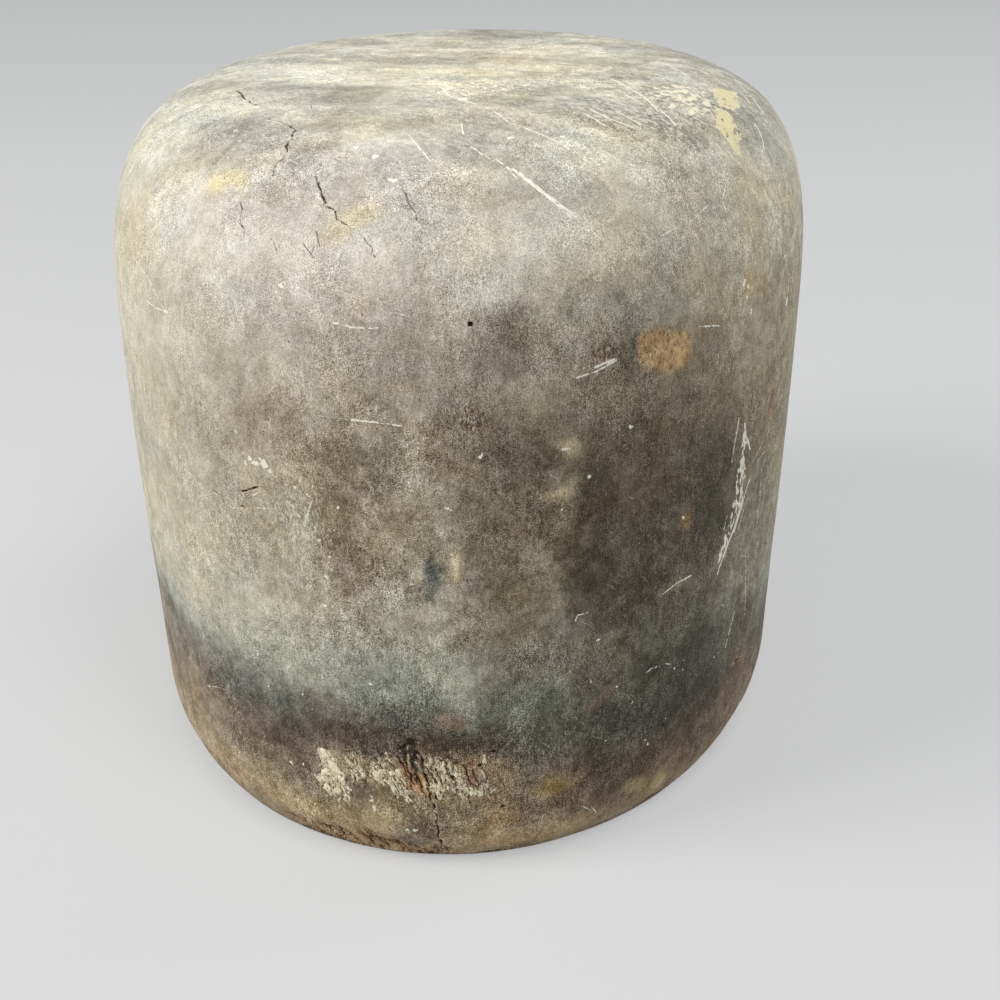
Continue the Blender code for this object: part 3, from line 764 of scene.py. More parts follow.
# Brown felt stains down the front.
stain((150, 130, 110), side(-14.5, 108), 7, 6, 0.65, pored=0.1)
stain((122, 107, 88), side(-4.6, 88), 5.5, 18, 0.85)
stain((134, 122, 102), side(1.5, 122), 8, 10, 0.6, soft=0.9)
stain((116, 104, 86), side(5.2, 121), 2.6, 10, 0.5)
stain((128, 116, 98), side(11, 106), 12, 7, 0.55, soft=0.9)
stain((112, 100, 82), side(17, 128), 6, 8, 0.6)
stain((116, 104, 84), side(20.5, 104), 8, 6, 0.8)
stain((132, 120, 100), side(15, 88), 11, 14, 0.5, soft=0.9)
stain((104, 92, 74), side(1.5, 101), 3.5, 9, 0.5)
stain((182, 174, 152), side(5.6, 100), 2.8, 24, 0.75, turn=4)
stain((186, 180, 160), side(9.6, 136), 4, 11, 0.7)
stain((172, 164, 144), side(9.8, 84), 4, 9, 0.6)
stain((160, 152, 134), side(18, 80), 6, 7, 0.3)
stain((166, 160, 142), side(22, 63), 8, 6, 0.5)

# The dark oily stain on the right, where hands held the block, and its edges.
stain((146, 131, 104), side(40, 117), 30, 12, 0.7, soft=0.9)
stain((98, 86, 62), side(38, 96), 21, 13, 0.85, soft=0.9)
stain((82, 72, 50), side(41, 80), 23, 20, 0.95, soft=0.9)
stain((64, 55, 38), side(31, 80), 4.5, 24, 0.7)
stain((60, 52, 36), side(53, 79), 8, 14, 0.8)
stain((92, 85, 64), side(44, 52), 30, 12, 0.85, soft=0.9)
stain((72, 64, 46), side(54, 42), 22, 6, 0.75)
stain((74, 66, 48), side(35, 66), 8, 7, 0.6)
stain((84, 74, 54), side(39, 103), 5, 4, 0.6)
stain((88, 78, 58), side(35, 123), 2.2, 7, 0.65)
stain((112, 100, 76), side(20, 128), 8, 5, 0.4)
stain((136, 130, 107), side(67, 74), 8, 28, 0.7, soft=0.9)
stain((150, 138, 110), side(70, 108), 12, 24, 0.6, soft=0.9)
stain((206, 194, 162), side(26.8, 104), 3.0, 1.8, 0.9, flecked=0.3, turn=-20, soft=0.35)
stain((200, 187, 156), side(25.6, 95.4), 3.4, 2.4, 0.85, flecked=0.25, turn=35, soft=0.35)
stain((148, 140, 117), side(26.2, 88.6), 2.0, 3.6, 0.7, flecked=0.2)
stain((150, 138, 112), side(35, 113), 4, 3.5, 0.6)
stain((150, 138, 110), side(45.6, 63.8), 5, 1.2, 0.6, turn=-10)
stain((140, 128, 104), side(46, 104), 5, 4, 0.35)
stain((118, 108, 84), side(20, 70), 7, 8, 0.5)

# Below the tide line: blue-grey damp, then brown dirt.
stain((92, 92, 86), side(-24, 40), 12, 4.5, 0.8)
stain((94, 86, 72), side(-44, 46), 12, 4, 0.6)
stain((90, 79, 64), side(-18, 31), 14, 6, 0.75)
stain((150, 128, 102), side(-40, 24), 10, 7, 0.7)
stain((124, 102, 82), side(-28, 25), 5, 5, 0.5)
stain((134, 139, 130), side(1, 51), 8, 5, 0.6)
stain((88, 90, 82), side(4.5, 43), 5, 4, 0.7)
stain((176, 178, 160), side(11.5, 53), 5.5, 6, 0.75)
stain((84, 86, 78), side(22, 47), 7, 3.5, 0.7)
stain((154, 130, 108), side(10.3, 42.6), 3, 1.9, 0.65, flecked=0.2)
stain((66, 56, 42), side(2, 36), 20, 3.4, 0.85, pored=0.3)
stain((62, 56, 44), side(15, 41), 3, 3, 0.5)
stain((82, 80, 66), side(26, 35), 12, 6, 0.75, flecked=0.2)
stain((78, 70, 52), side(46, 33), 18, 8, 0.7)
stain((154, 130, 104), side(34.6, 42), 3.2, 2.2, 0.65, flecked=0.15)
stain((88, 72, 50), side(37, 20), 15, 5, 0.75)
stain((74, 62, 42), side(32.4, 27.6), 3, 3, 0.5)
stain((86, 66, 44), side(24.5, 16), 6, 2.6, 0.8)
stain((164, 132, 76), side(24.4, 21.4), 4.6, 2.0, 0.75, flecked=0.1, turn=18, soft=0.9, edge=1.6)
stain((184, 152, 112), side(16.5, 14), 4.5, 5.5, 0.7, flecked=0.1)
stain((190, 160, 122), side(19, 6), 14, 3.5, 0.7, flecked=0.1)
stain((142, 118, 86), side(65, 22), 9, 9, 0.7)
stain((88, 72, 52), side(67, 38), 6, 6, 0.6)
stain((112, 98, 78), side(6, 14), 5, 5.5, 0.8)
stain((96, 90, 76), side(2.5, 8.4), 3.2, 2.4, 0.7)
stain((186, 160, 124), side(-14, 11), 15, 3.2, 0.75, flecked=0.1)
stain((176, 146, 112), side(-30, 13), 9, 3.5, 0.6)
stain((128, 112, 88), side(-6, 18.5), 9, 3, 0.5, flecked=0.1)
stain((190, 168, 126), side(40.5, 12.6), 3.6, 1.6, 0.7, turn=-35, flecked=0.2)
stain((216, 196, 146), side(45, 9.4), 2.8, 2.6, 0.8, flecked=0.2, turn=-30)
stain((120, 100, 72), side(52, 20), 8, 7, 0.4)
stain((168, 142, 106), side(9, 29), 12, 4.5, 0.65)
stain((150, 118, 82), side(16, 25), 4, 6, 0.5)
stain((190, 172, 136), side(-3, 26.5), 9, 4, 0.6)
stain((70, 58, 42), side(-5, 34.5), 13, 2.4, 0.75, pored=0.2)
stain((74, 62, 46), side(12, 34.8), 9, 2.6, 0.7, pored=0.2)
stain((96, 82, 62), side(-15, 26), 4, 7, 0.6)
stain((104, 90, 70), side(-3, 22), 4, 2, 0.6)

# The shoulder and top.
stain((214, 211, 194), crown(-8, 8), 24, 30, 0.6, soft=0.9)
stain((206, 202, 184), crown(10, -14), 30, 20, 0.35, soft=0.9)
stain((168, 166, 150), crown(-66, 2), 9, 32, 0.65, soft=0.9)
stain((150, 149, 140), crown(5, 66), 52, 14, 0.8, soft=0.9)
stain((168, 167, 154), crown(-28, 54), 24, 12, 0.6, soft=0.9)
stain((150, 145, 130), crown(57, 28), 9, 18, 0.7, soft=0.9)
stain((170, 164, 150), crown(-8, -77), 32, 7, 0.6, flecked=0.15)
stain((158, 150, 136), crown(-20, -85), 16, 4, 0.5)
stain((160, 154, 138), crown(14, -84), 24, 4, 0.55)
stain((156, 150, 136), crown(17, -55), 9, 8, 0.7, flecked=0.4, pored=0.2)
stain((120, 114, 100), crown(37, -44), 6, 7, 0.7, flecked=0.4, pored=0.2, turn=30)
stain((112, 106, 94), crown(49, -42), 4.5, 9, 0.75, flecked=0.4, pored=0.25, turn=25)
stain((160, 153, 138), crown(-34, -66), 11, 6, 0.6, flecked=0.25)
stain((166, 162, 146), crown(-30, -40), 12, 8, 0.4, flecked=0.1, soft=0.9)
stain((176, 168, 152), crown(12, 4), 8, 14, 0.5, soft=0.9)
stain((172, 176, 166), crown(-46, -56), 10, 12, 0.4, soft=0.9)
stain((218, 213, 194), crown(8, -41), 3.0, 10, 0.7, turn=40)
stain((172, 166, 150), crown(56, -62), 9, 9, 0.5, flecked=0.15)
# The next two are pale patches at the right edge of the shoulder, partly painted rim light.
stain((206, 196, 168), side(66, 145), 12, 6, 0.5)
stain((190, 182, 158), side(74, 140), 7, 6, 0.5, flecked=0.2)
# Painted sheen: a pale band along the front-right shoulder.
stain((204, 198, 180), side(28, 144), 20, 5, 0.4, soft=0.9)

# The sides and back that face away: handling stains, water runs and rubbed places.
stain((150, 136, 112), side(-84, 104), 15, 20, 0.6)
stain((126, 112, 90), side(-97, 76), 12, 14, 0.6)
stain((190, 182, 158), side(-108, 118), 16, 18, 0.5, soft=0.9)
stain((118, 106, 86), side(-128, 92), 14, 22, 0.6)
stain((178, 168, 146), side(-146, 70), 12, 16, 0.5)
stain((104, 94, 74), side(166, 96), 16, 24, 0.65)
stain((134, 122, 98), side(146, 124), 18, 12, 0.55)
stain((182, 174, 150), side(128, 88), 10, 22, 0.55)
stain((120, 108, 82), side(104, 82), 14, 18, 0.6)
stain((146, 132, 104), side(88, 112), 14, 14, 0.5)
stain((78, 68, 52), side(-112, 38), 20, 4, 0.7, pored=0.2)
stain((70, 60, 44), side(158, 36), 22, 4, 0.7, pored=0.2)
stain((168, 140, 104), side(-92, 22), 10, 5, 0.6, flecked=0.2)
stain((176, 146, 108), side(118, 16), 12, 5, 0.6, flecked=0.2)
stain((150, 96, 58), side(-72, 26), 1.6, 4.0, 0.7, pored=0.3)
stain((150, 96, 58), side(141, 28), 1.4, 3.4, 0.7, pored=0.3)
stain((204, 186, 140), side(-118, 141), 4.0, 2.4, 0.6, flecked=0.3)
stain((130, 124, 108), crown(-30, 70), 14, 9, 0.5)

# Dabs of ochre, glue and rust.
stain((164, 158, 140), crown(56, -28), 4.5, 12, 0.9, flecked=0.8, pored=0.5)
stain((132, 124, 106), crown(59, -24), 2.0, 3.5, 0.7, pored=0.3)
stain((214, 199, 152), side(-24.4, 151.6), 4.0, 1.5, 0.8,
      turn=-16, flecked=0.2, pored=0.4, soft=0.6, edge=1.4)
stain((196, 180, 140), side(-46, 138), 9, 8, 0.4, pored=0.1)
stain((210, 196, 158), side(-2.6, 148.2), 3.2, 2.0, 0.7,
      turn=25, flecked=0.3, pored=0.4, soft=0.6, edge=1.4)
stain((200, 168, 118), side(58.4, 127.6), 2.0, 2.6, 0.7, flecked=0.3)
stain((188, 166, 122), side(62, 126), 5, 2.6, 0.45, flecked=0.3)
stain((214, 188, 148), side(73.5, 139.4), 4, 1.3, 0.7, flecked=0.3, soft=0.15, edge=0.35)
stain((132, 78, 48), side(67.8, 94), 1.2, 3.0, 0.85, pored=0.3)
stain((186, 134, 96), side(68.6, 90.8), 1.6, 1.0, 0.7)
stain((150, 126, 88), side(13, 112.2), 3.4, 2.1, 0.6, flecked=0.7, pored=1.4)
stain((158, 132, 90), side(32.0, 122.4), 3.0, 1.6, 0.65, flecked=0.5, pored=1.3)
stain((60, 66, 64), side(7.3, 77.8), 1.2, 4.4, 0.85)
stain((232, 218, 180), side(10.3, 80.4), 1.9, 3.2, 0.85, flecked=0.4)
stain((176, 138, 80), side(46.7, 80.6), 1.1, 1.9, 0.7, pored=0.3)
stain((176, 156, 116), side(37, 100), 14, 8, 0.12, flecked=0.15, soft=0.9)

flecks += 0.30 * top_share * held(0.5 - place[:, 1] / 90) + patches(
    (0.75, side(-10.6, 87), 5, 10, 0.5), (0.15, side(28, 35), 16, 5, 0.5), (0.14, side(2, 104), 12, 16, 0.8),
    (0.22, crown(38, -30), 26, 30, 0.6), (0.35, side(1, 26), 24, 8, 0.6), (0.5, crown(52, -30), 6, 9, 0.5))
pores += patches((0.25, side(32, 86), 18, 26, 0.8), (0.15, side(20, 30), 40, 9, 0.6))


def paint(weight, colour):
    """Lays a colour over the timber by a weight from 0 to 1 at each point."""
    global tint
    weight = held(weight)[:, None]
    tint = tint * (1 - weight) + shade(*colour) * weight


# The right side and the middle of the top are a little warmer, the back of the left shoulder greener,
# the right side darker and the left flank and front a little paler. Painted reflection and sheen: a blue
# cast and a paler band over the front shoulder.
warmer = 0.6 * top_share * mottle(place, (16, 10, 60), 51, 3) + patches(
    (1.0, side(55, 75), 46, 70, 0.9), (0.6, crown(5, 8), 30, 40, 0.8), (-0.7, crown(-62, 5), 16, 40, 0.9))
tint = tint * (1 + np.outer(warmer, [0.03, 0.0, -0.10]))
# Painted reflection: a faint blue cast over the front shoulder, the colour of the soft light mirrored there.
tint = tint * (1 + np.outer(patch(side(-8, 142), 34, 20, 0.7), [0.01, -0.01, 0.05]))
# Of these paler patches, the two high on the front-right shoulder, at 141 and 146 mm, are painted sheen.
paler_and_sheen = patches(
    (0.12, side(-1, 84), 18, 26, 0.7), (0.10, side(-45, 125), 26, 44, 0.6), (0.10, side(22, 141), 20, 8, 0.7),
    (0.14, side(9, 62), 6, 15, 0.6), (0.14, side(32, 146), 14, 6, 0.6), (0.16, side(3, 26), 22, 12, 0.5))
darker = patches(
    (0.42, side(46, 80), 24, 30, 0.6), (0.24, side(38, 132), 20, 12, 0.6), (0.24, side(20, 99), 8, 9, 0.5),
    (0.48, side(48, 32), 26, 18, 0.5), (0.16, side(60, 24), 14, 22, 0.5), (0.10, side(6, 148), 10, 5, 0.6))
clouds = 0.10 * mottle(place, (9, 9, 11), 48, 3) + 0.42 * top_share * mottle(place, (18, 9, 60), 49, 4)
clouds += 0.16 * patch(crown(46, -36), 22, 22, 0.6) * mottle(place, (7, 4, 7), 50, 3)
tint = tint * (1 + paler_and_sheen - darker + clouds)[:, None]

# How strongly the fine grain shows: least on the bleached left flank and the shoulder, most on the front.
grain_strength = 1.0 + 0.30 * torn + patches(
    (-0.30, side(-42, 112), 32, 44, 0.7), (-0.22, side(10, 140), 60, 20, 0.7),
    (0.35, side(4, 82), 24, 26, 0.7), (0.40, crown(35, -25), 30, 26, 0.6),
    (0.35, side(-5, 20), 50, 22, 0.5), (0.35, side(70, 80), 14, 60, 0.7))

# The split fibres of the foot, the torn crust with its rust, the knot, and the pale rims of the checks.
open_foot = held(2.0 * splits * frayed - 0.1)
paint(0.8 * frayed * (1 - open_foot), (198, 165, 123))
paint(open_foot, (96, 52, 31))
paint(0.5 * patch(side(9, 20.5), 8, 3.4, 0.5, bent=1.0), (190, 172, 136))
paint(0.75 * torn, (148, 130, 98))
paint(0.6 * torn * held(-1.5 * crumb), (92, 72, 48))
KNOT_HEIGHT = 28.0
low_share = held((KNOT_HEIGHT - place[:, 2]) / 5)
paint(0.95 * rusty * (1 - low_share), (142, 88, 48))
paint(0.9 * rusty * low_share, (214, 168, 116))
paint(rusty * np.clip(1.5 * fibre, 0, 0.8), (84, 44, 24))
paint(rusty * np.clip(-1.5 * fibre, 0, 0.7), (232, 198, 148))
paint(0.8 * patch(side(12.7, 27.6), 1.6, 4.0, 0.4, bent=0.6), (136, 100, 66))
paint(0.95 * heart, (40, 26, 17))
paint(0.8 * (inside(KNOT_HEART, place) > 0) * held(2 * loops), (176, 160, 128))
paint(0.8 * held(marked(GOUGES, 1.7, 0.5, 470)) * breaks(1.0, 395, 0.7, 2), (178, 148, 96))
rubbed = held(0.5 + inside(RUBBED_ROUND, place, 0.8 * ragged_edge) / 1.8)
burnt = 1.6 * mottle(place, (0.55, 0.55, 1.1), 36, 3) + 0.3 * mottle(place, 4, 38)
paint(0.9 * rubbed, (186, 150, 104))
paint(rubbed * np.clip(burnt, 0, 0.75), (104, 74, 42))
paint(rubbed * np.clip(-1.5 * mottle(place, (0.5, 0.5, 0.9), 36, 3), 0, 0.6), (216, 184, 134))
paint(0.5 * rim, (216, 209, 190))

# The sawn base: darker towards its rim, with the dirt of the bench on it.
DIRTY_FROM = 62.0
sawn = held(-facing[:, 2] * 4 - 3) * (far_from_axis > POCKET_RADIUS - 2) * (place[:, 2] < 3)
rim_share = held((np.hypot(place[:, 0], place[:, 1] / OVAL) - DIRTY_FROM) / 14)
paint(0.85 * sawn, (132, 114, 88))
paint(0.7 * sawn * rim_share * held(0.7 + mottle(place, 9, 52, 3)), (70, 56, 40))
paint(0.6 * sawn * held(1.2 * mottle(place, 16, 53, 4)), (92, 78, 60))

# Fields that the timber's nodes cut to crisp, ragged edges: 0.5 is an edge.
pale = crust.copy()
chipped = 0.32 * in_threes(0.7, 44, 2)
for number, (strength, width, run) in enumerate(SCRATCHES):
    line = marked([(width + 0.12 * max(run[0][3][2], 0), run)], 0.5, 0.12, 600 + number)
    pale = np.maximum(pale, (line + 0.7 * chipped[:, 0] * (line > 0.1)) * (0.58 + 0.42 * strength))
for kind, across, along, wide, tall in SPECKS:
    point, right, up, out = kind(across, along)
    d = place - point + 0.3 * ragged_edge + 1.2 * chipped
    reach = np.hypot(d @ right / wide, d @ up / tall)
    pale = np.maximum(pale, np.where(np.abs(d @ out) < 3, 0.5 + (0.8 - reach) * min(wide, tall) / 0.9, 0))
chips = held(2.2 * mottle(place, (0.7, 1.8, 1.0), 38, 2) - 0.6)
glued = [inside(outline, place, 0.8 * ragged_edge + 1.5 * chipped) for outline in GLUE]
glued = np.maximum.reduce(glued) + 0.2
pale = np.maximum(pale, 0.5 + np.clip(glued, -0.6, 0.6) - 0.8 * chips * (glued < 2.4))
flaky = patch(crown(52.5, -26), 8.5, 13, 0.4, bent=0.8)
pale = np.maximum(pale, flaky * (0.48 + 0.80 * mottle(place, (1.0, 1.8, 1.0), 54, 3)))
grazed = 0.17 + np.clip(inside(LONG_GRAZE, place, 0.6 * ragged_edge) + 0.1, -0.5, 0.4)
pale = np.maximum(pale, grazed + 0.8 * mottle(leaning, (0.6, 0.6, 2.0), 39, 3))
dark = np.maximum.reduce([cuts, pit + 0.1, open_foot * 0.42, crack * 0.80 * (crust < 0.52),
                          heart * (0.46 + 0.3 * fibre)])

# The chalky colour of the pale marks: creamy in the torn band, yellow where there is glue.
creamy = torn[:, None]
yellowed = np.maximum(held(0.5 + glued / 1.2), 0.4 * flaky)[:, None]
chalk = shade(255, 243, 210) * creamy + shade(252, 248, 230) * (1 - creamy)
chalk = chalk * (1 - yellowed) + shade(232, 221, 172) * yellowed
chalk = chalk * (1 + 0.10 * mottle(place, 0.9, 40, 3))[:, None]

fields = {
    "open_fibres": torn + heart + rusty + 0.7 * frayed, "pale_flecks": flecks, "dark_pores": pores,
    "pale_marks": pale, "dark_marks": dark, "end_grain": (facing[:, 2] - 0.35) / 0.4,
    "grain_strength": grain_strength / 2, "sawn": sawn,
}
for name, values in fields.items():
    block_mesh.attributes.new(name, "FLOAT", "POINT").data.foreach_set("value", held(values))
for name, values in (("timber_tint", tint), ("chalk_tint", chalk)):
    layer = block_mesh.color_attributes.new(name, "FLOAT_COLOR", "POINT")
    layer.data.foreach_set("color", np.concatenate([held(values), np.ones((count, 1))], axis=1).ravel())


class Nodes:
    """A tree of shader nodes, added one call at a time; an input is a number or another node's output."""

    def __init__(self, tree):
        self.tree = tree

    def add(self, kind, output=0, settings=None, **inputs):
        """Adds a node and gives one of its outputs. Inputs go by name, or by number as _0, _1."""
        node = self.tree.nodes.new("ShaderNode" + kind)
        for name, value in (settings or {}).items():
            setattr(node, name, value)
        for name, value in inputs.items():
            self.feed(node.inputs[int(name[1:]) if name[1:].isdigit() else name.replace("_", " ")], value)
        return node.outputs[output]

    def feed(self, socket, value):
        """Links a node's output to a socket, or sets the socket to a number or colour."""
        if isinstance(value, bpy.types.NodeSocket):
            self.tree.links.new(value, socket)
        else:
            socket.default_value = value

    def math(self, operation, a, b=0.0, clamp=False):
        return self.add("Math", settings={"operation": operation, "use_clamp": clamp}, _0=a, _1=b)

    def plus(self, a, b):
        return self.math("ADD", a, b)

    def minus(self, a, b):
        return self.math("SUBTRACT", a, b)

    def times(self, a, b, clamp=False):
        return self.math("MULTIPLY", a, b, clamp)

    def band(self, value, start, end, low=0.0, high=1.0):
        """Carries a value from one range to another and holds it there."""
        return self.add("MapRange", settings={"clamp": True}, _0=value, _1=start, _2=end, _3=low, _4=high)

    def blend(self, share, a, b):
        """Blends two colours."""
        return self.add("Mix", 2, {"data_type": "RGBA"}, _0=share, _6=a, _7=b)

    def vector(self, operation, a, b):
        return self.add("VectorMath", settings={"operation": operation}, _0=a, _1=b)

    def noise(self, at, scale, detail=2.0, rough=0.5, distortion=0.0):
        return self.add("TexNoise", Vector=at, Scale=scale, Detail=detail, Roughness=rough,
                        Distortion=distortion)

    def in_mm(self, upright=1000, **mapping):
        """A place in the solid piece in mm; a smaller upright scale draws its noise out along the grain."""
        mapping = {"Scale": (1000, 1000, upright), **mapping}
        return self.add("Mapping", Vector=self.add("TexCoord", "Object"), **mapping)

    def seen_directly(self):
        """1 for what the eye sees straight, in a mirror or through glass, 0 for light on other things."""
        rays = ("Camera", "Glossy", "Transmission")
        eye, mirror, glass = [self.add("LightPath", f"Is {ray} Ray") for ray in rays]
        return self.math("MAXIMUM", self.math("MAXIMUM", eye, mirror), glass)


class Finish(Nodes):
    """A material, made of nodes that feed its Principled shader."""

    def __init__(self, name):
        self.material = bpy.data.materials.new(name)
        self.material.use_nodes = True
        super().__init__(self.material.node_tree)
        self.shader = self.tree.nodes["Principled BSDF"]

    def set(self, name, value):
        """Sets or feeds one of the shader's own inputs."""
        self.feed(self.shader.inputs[name], value)

    def bump(self, height, strength, distance):
        self.set("Normal", self.add("Bump", Strength=strength, Distance=distance, Height=height))

    def stretched(self, rotation, scale):
        """A place in the solid, turned about each axis and with its noise drawn out to a scale."""
        return self.in_mm(settings={"vector_type": "TEXTURE"}, Rotation=rotation, Scale=scale)

    def field(self, name):
        """A number from the mesh's own fields."""
        return self.add("Attribute", 2, {"attribute_name": name})

    def dress(self, node_name):
        """Gives this finish to a CAD piece, which keeps its own mesh."""
        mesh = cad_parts[node_name].data
        mesh.materials.clear()
        mesh.materials.append(self.material)


timber = Finish("aged_grey_timber")
even = timber.in_mm()
upright = timber.in_mm(420)
strung = timber.in_mm(150)
dragged = timber.stretched((0, 0, math.radians(-48)), (0.0016, 0.001, 0.001))
ground = timber.add("Attribute", 0, {"attribute_name": "timber_tint"})
chalk_tint = timber.add("Attribute", 0, {"attribute_name": "chalk_tint"})
open_fibres, end_grain = timber.field("open_fibres"), timber.field("end_grain")


def swing(value, width=0.2):
    """A noise from 0 to 1 turned into a swing from -1 to 1 about its middle."""
    return timber.band(value, 0.5 - width, 0.5 + width, -1, 1)


def crisp(field, edge, steep):
    """Cuts a field to a crisp mask at an edge."""
    return timber.times(timber.minus(field, edge), steep, clamp=True)


def either(on_sides, on_top):
    """One noise on the upright sides and another on the end grain of the top."""
    return timber.add("Mix", 0, {"data_type": "FLOAT"}, _0=end_grain, _2=on_sides, _3=on_top)


# The wear's own grain at each scale, from specks of 0.2 mm up to hazes 9 mm across. Each swings the
# colour by its share, and the fine ones come and go over the block.
lean = either(timber.noise(upright, 1.9, 2, 0.75), timber.noise(dragged, 1.3, 4, 0.78))
string = timber.noise(strung, 1.5, 3, 0.6)
speckle = timber.noise(even, 4.2, 1, 0.7)
curl = either(timber.noise(upright, 0.85, 2, 0.6, 0.6), timber.noise(dragged, 0.8, 2, 0.6, 0.8))
cloud = timber.noise(even, 0.33, 2, 0.6, 0.9)
haze = timber.noise(even, 0.11, 2, 0.6, 1.2)
comes_and_goes = timber.band(timber.noise(even, 0.06, 2, 0.6), 0.38, 0.62, 0.65, 1.35)
string_share = timber.band(open_fibres, 0, 1, 0.03, 0.12)
grain = 0.0
for noise, width, share in (
        (lean, 0.16, 0.050), (string, 0.2, string_share), (speckle, 0.2, 0.20), (curl, 0.16, 0.036)):
    grain = timber.plus(timber.times(swing(noise, width), share), grain)
grain = timber.times(grain, comes_and_goes)
for noise, width in ((cloud, 0.14), (haze, 0.12)):
    grain = timber.plus(grain, timber.times(swing(noise, width), 0.045))
grain = timber.times(grain, timber.times(timber.field("grain_strength"), 2.0))

# Growth rings and the saw's kerf marks, on the base alone.
heartwood = timber.in_mm(Location=(34, -22, 0))
rings = timber.add("TexWave", 1, {"wave_type": "RINGS", "rings_direction": "Z"}, Vector=heartwood,
                   Scale=0.11, Distortion=3.0, Detail=3, Detail_Scale=0.25)
kerf = timber.add("TexWave", 1, {"wave_type": "BANDS", "bands_direction": "DIAGONAL"}, Vector=even,
                  Scale=0.16, Distortion=1.0, Detail=2)
sawing = timber.plus(timber.times(timber.minus(rings, 0.5), 0.13),
                     timber.times(timber.minus(kerf, 0.5), 0.05))
sawing = timber.times(sawing, timber.field("sawn"))

# All of it is laid on the colour as the eye sees it, a little warmer here and cooler there.
EYE_GAMMA = 2.2
warmth = swing(timber.noise(even, 0.07, 2, 0.6, 0.8))
warmth = timber.add("CombineXYZ", _0=timber.times(warmth, 0.008), _1=0.0, _2=timber.times(warmth, -0.014))
seen = timber.add("Gamma", _0=ground, _1=1 / EYE_GAMMA)
for change in (grain, warmth, sawing):
    seen = timber.vector("ADD", seen, change)
seen = timber.vector("MAXIMUM", seen, (0.03, 0.025, 0.02))
colour = timber.add("Gamma", _0=seen, _1=EYE_GAMMA)

# Faint hairlines where the block was dragged about, in two leanings, patchy.
for turn, patchiness in ((0.6, 0.11), (-0.9, 0.13)):
    slid = timber.stretched((0.3, turn, turn), (0.007, 0.0005, 0.0005))
    where = timber.band(timber.noise(even, patchiness, 2, 0.6), 0.48, 0.60, 0.0, 0.30)
    hair = timber.times(crisp(timber.noise(slid, 1.0, 1, 0.5), 0.66, 9), where)
    colour = timber.blend(hair, colour, (0.82, 0.79, 0.68, 1))

# Pale flecks and dark pores, more of them where their fields say so.
flake = either(timber.noise(upright, 1.9, 3, 0.7), timber.noise(dragged, 0.9, 4, 0.75))
flaked = crisp(flake, timber.minus(0.72, timber.times(timber.field("pale_flecks"), 0.26)), 12)
colour = timber.blend(timber.times(flaked, 0.75), colour, (0.78, 0.75, 0.62, 1))
pore = either(timber.noise(upright, 1.5, 2, 0.6), timber.noise(even, 1.5, 2, 0.6))
pored = crisp(pore, timber.minus(0.72, timber.times(timber.field("dark_pores"), 0.22)), 12)
colour = timber.blend(timber.times(pored, 0.75), colour, (0.030, 0.022, 0.014, 1))

# Chalky marks and splits, cut to crisp, crumbly edges; in torn timber the chalk breaks into a web.
leaned = timber.stretched((0, -0.35, 0), (0.001, 0.001, 0.0026))
web = timber.math("ABSOLUTE", swing(timber.noise(leaned, 1.7, 3, 0.6, 0.6), 0.14))
web = timber.times(timber.minus(0.5, web), timber.times(open_fibres, 0.75))
crumbly = timber.plus(timber.times(swing(timber.noise(even, 2.2, 3, 0.7)), 0.12), web)
chalked = crisp(timber.plus(timber.field("pale_marks"), crumbly), 0.48, 9)
colour = timber.blend(timber.times(chalked, 0.96), colour, chalk_tint)
split = crisp(timber.plus(timber.field("dark_marks"), timber.times(swing(string), 0.08)), 0.5, 6)
colour = timber.blend(timber.times(split, 0.93), colour, (0.016, 0.010, 0.006, 1))

timber.set("Base Color", colour)
dull = timber.band(timber.noise(upright, 1.9, 2, 0.75), 0.3, 0.7, 0.55, 0.70)
timber.set("Roughness", timber.plus(dull, timber.times(open_fibres, 0.22)))
timber.set("Specular IOR Level", 0.35)
height = timber.plus(timber.times(lean, 0.7), timber.times(speckle, 0.4))
height = timber.plus(height, timber.times(string, timber.band(open_fibres, 0, 1, 0.1, 1.6)))
height = timber.plus(height, timber.times(timber.plus(flaked, chalked), 0.25))
height = timber.minus(height, timber.times(timber.plus(pored, split), 0.7))
timber.bump(height, 0.7, 0.0004)

block_mesh.materials.append(timber.material)
crown_block_skin = bpy.data.objects.new("crown_block_skin", block_mesh)
bpy.context.collection.objects.link(crown_block_skin)
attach(crown_block_skin, "root")
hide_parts("crown_block")

# The spindle socket. A flanged bush of cast iron, let into the base and darkened with age; its bore
# drops over the upright of the hatter's stand.
iron = Finish("darkened_cast_iron")
grit = iron.noise(iron.in_mm(), 1.4, 4, 0.6)
freckle = iron.band(iron.noise(iron.in_mm(), 0.30, 6, 0.7), 0.46, 0.62)
bare = iron.blend(grit, (0.035, 0.032, 0.03, 1), (0.09, 0.078, 0.066, 1))
iron.set("Base Color", iron.blend(freckle, bare, (0.16, 0.07, 0.03, 1)))
iron.set("Roughness", iron.plus(iron.band(grit, 0.3, 0.7, 0.4, 0.6), iron.times(freckle, 0.3)))
iron.set("Metallic", 0.75)
iron.bump(grit, 0.6, 0.0004)
iron.dress("spindle_socket")

# Four slotted wood screws of dull steel with countersunk heads. They hold the socket's flange tight
# to the timber of the base.
steel = Finish("old_screw_steel")
smear = steel.noise(steel.in_mm(), 1.1, 4, 0.6)
rust = steel.band(smear, 0.45, 0.65)
steel.set("Base Color", steel.blend(rust, (0.3, 0.28, 0.26, 1), (0.14, 0.075, 0.04, 1)))
steel.set("Roughness", steel.band(smear, 0.3, 0.7, 0.32, 0.65))
steel.set("Metallic", 1.0)
steel.bump(smear, 0.4, 0.0002)
for number in range(1, 5):
    steel.dress(f"socket_screw_{number}")

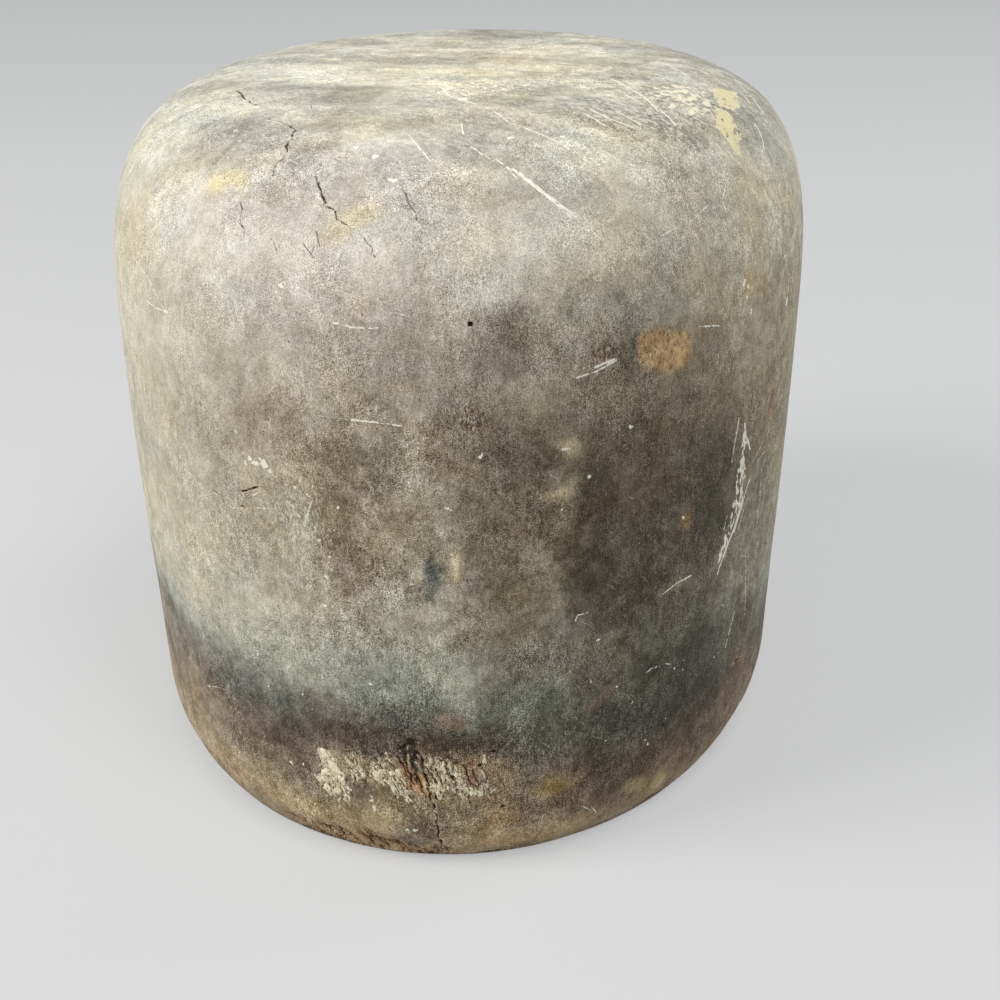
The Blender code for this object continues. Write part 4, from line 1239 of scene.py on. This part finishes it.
# Seven cut-iron tack shanks, which once held the pin band's cord. They snapped off in the timber and
# have rusted through.
rusted = Finish("rusted_tack_iron")
scale = rusted.noise(rusted.in_mm(), 3.5, 3, 0.6)
rusted.set("Base Color", rusted.blend(scale, (0.012, 0.009, 0.008, 1), (0.07, 0.03, 0.015, 1)))
rusted.set("Roughness", 0.9)
rusted.bump(scale, 0.8, 0.0002)
for name in TACKS:
    rusted.dress(name)

# The studio: a plain pale floor, which shows its own pale colour to the eye as well as the light on it.
FLOOR_HALF = 8.0
floor_corners = [(x * FLOOR_HALF, y * FLOOR_HALF, 0) for x, y in ((-1, -1), (1, -1), (1, 1), (-1, 1))]
floor_mesh = bpy.data.meshes.new("floor")
floor_mesh.from_pydata(floor_corners, [], [(0, 1, 2, 3)])
floor_paint = Finish("pale_floor")
floor_paint.set("Base Color", (0.52, 0.52, 0.515, 1))
floor_paint.set("Roughness", 0.9)
floor_paint.set("Specular IOR Level", 0.1)
glow = floor_paint.add("Emission", Color=(0.86, 0.87, 0.88, 1))
glow_share = floor_paint.times(floor_paint.seen_directly(), 0.45)
floor_surface = floor_paint.add("MixShader", _0=glow_share, _1=floor_paint.shader.outputs[0], _2=glow)
floor_paint.feed(floor_paint.tree.nodes["Material Output"].inputs["Surface"], floor_surface)
floor_mesh.materials.append(floor_paint.material)
floor = bpy.data.objects.new("floor", floor_mesh)
bpy.context.collection.objects.link(floor)


def lamp(name, at, aim, size, power, colour=(1, 1, 1)):
    """A round soft lamp, turned to look at a point on the block's axis."""
    light = bpy.data.lights.new(name, "AREA")
    light.shape, light.size, light.energy, light.color = "DISK", size, power, colour
    holder = bpy.data.objects.new(name, light)
    holder.location = at
    holder.rotation_euler = (Vector(aim) - Vector(at)).to_track_quat("-Z", "Y").to_euler()
    bpy.context.collection.objects.link(holder)


# A large soft lamp high on the left, a softbox overhead, a weak one behind, and a pale room.
lamp("key_lamp", (-1.0, -0.55, 1.05), (0, 0, 0.09), 0.7, 15.5, (1.0, 0.985, 0.955))
lamp("overhead_softbox", (0.35, -0.55, 1.35), (0, 0, 0.1), 0.8, 9.5)
lamp("rim_lamp", (1.1, 0.75, 0.7), (0, 0, 0.1), 0.6, 4.0)

world = bpy.data.worlds.new("pale_room")
bpy.context.scene.world = world
world.use_nodes = True
room = Nodes(world.node_tree)
room_light = room.tree.nodes["Background"]
room.feed(room_light.inputs["Color"], (0.93, 0.96, 1.0, 1))
room.feed(room_light.inputs["Strength"], 0.23)
wall = room.add("Background", Color=(0.72, 0.73, 0.74, 1))
room_surface = room.add("MixShader", _0=room.seen_directly(), _1=room_light.outputs[0], _2=wall)
room.feed(room.tree.nodes["World Output"].inputs["Surface"], room_surface)

# The camera stands where the photograph was taken from.
CAMERA_PLACE = (0.06721, -0.33388, 0.21781)
CAMERA_AIM = (0.02041, -0.07009, 0.0828)
CAMERA_LENS = 50.0
CAMERA_ROLL = math.radians(-0.18)
camera_data = bpy.data.cameras.new("camera")
camera_data.lens = CAMERA_LENS
camera_data.sensor_width = 36.0
camera_data.clip_start = 0.01
camera = bpy.data.objects.new("camera", camera_data)
camera.location = CAMERA_PLACE
look = (Vector(CAMERA_AIM) - Vector(CAMERA_PLACE)).to_track_quat("-Z", "Y").to_matrix()
camera.rotation_euler = (look @ Matrix.Rotation(CAMERA_ROLL, 3, "Z")).to_euler()
bpy.context.collection.objects.link(camera)
bpy.context.scene.camera = camera
bpy.context.scene.view_settings.view_transform = "Standard"
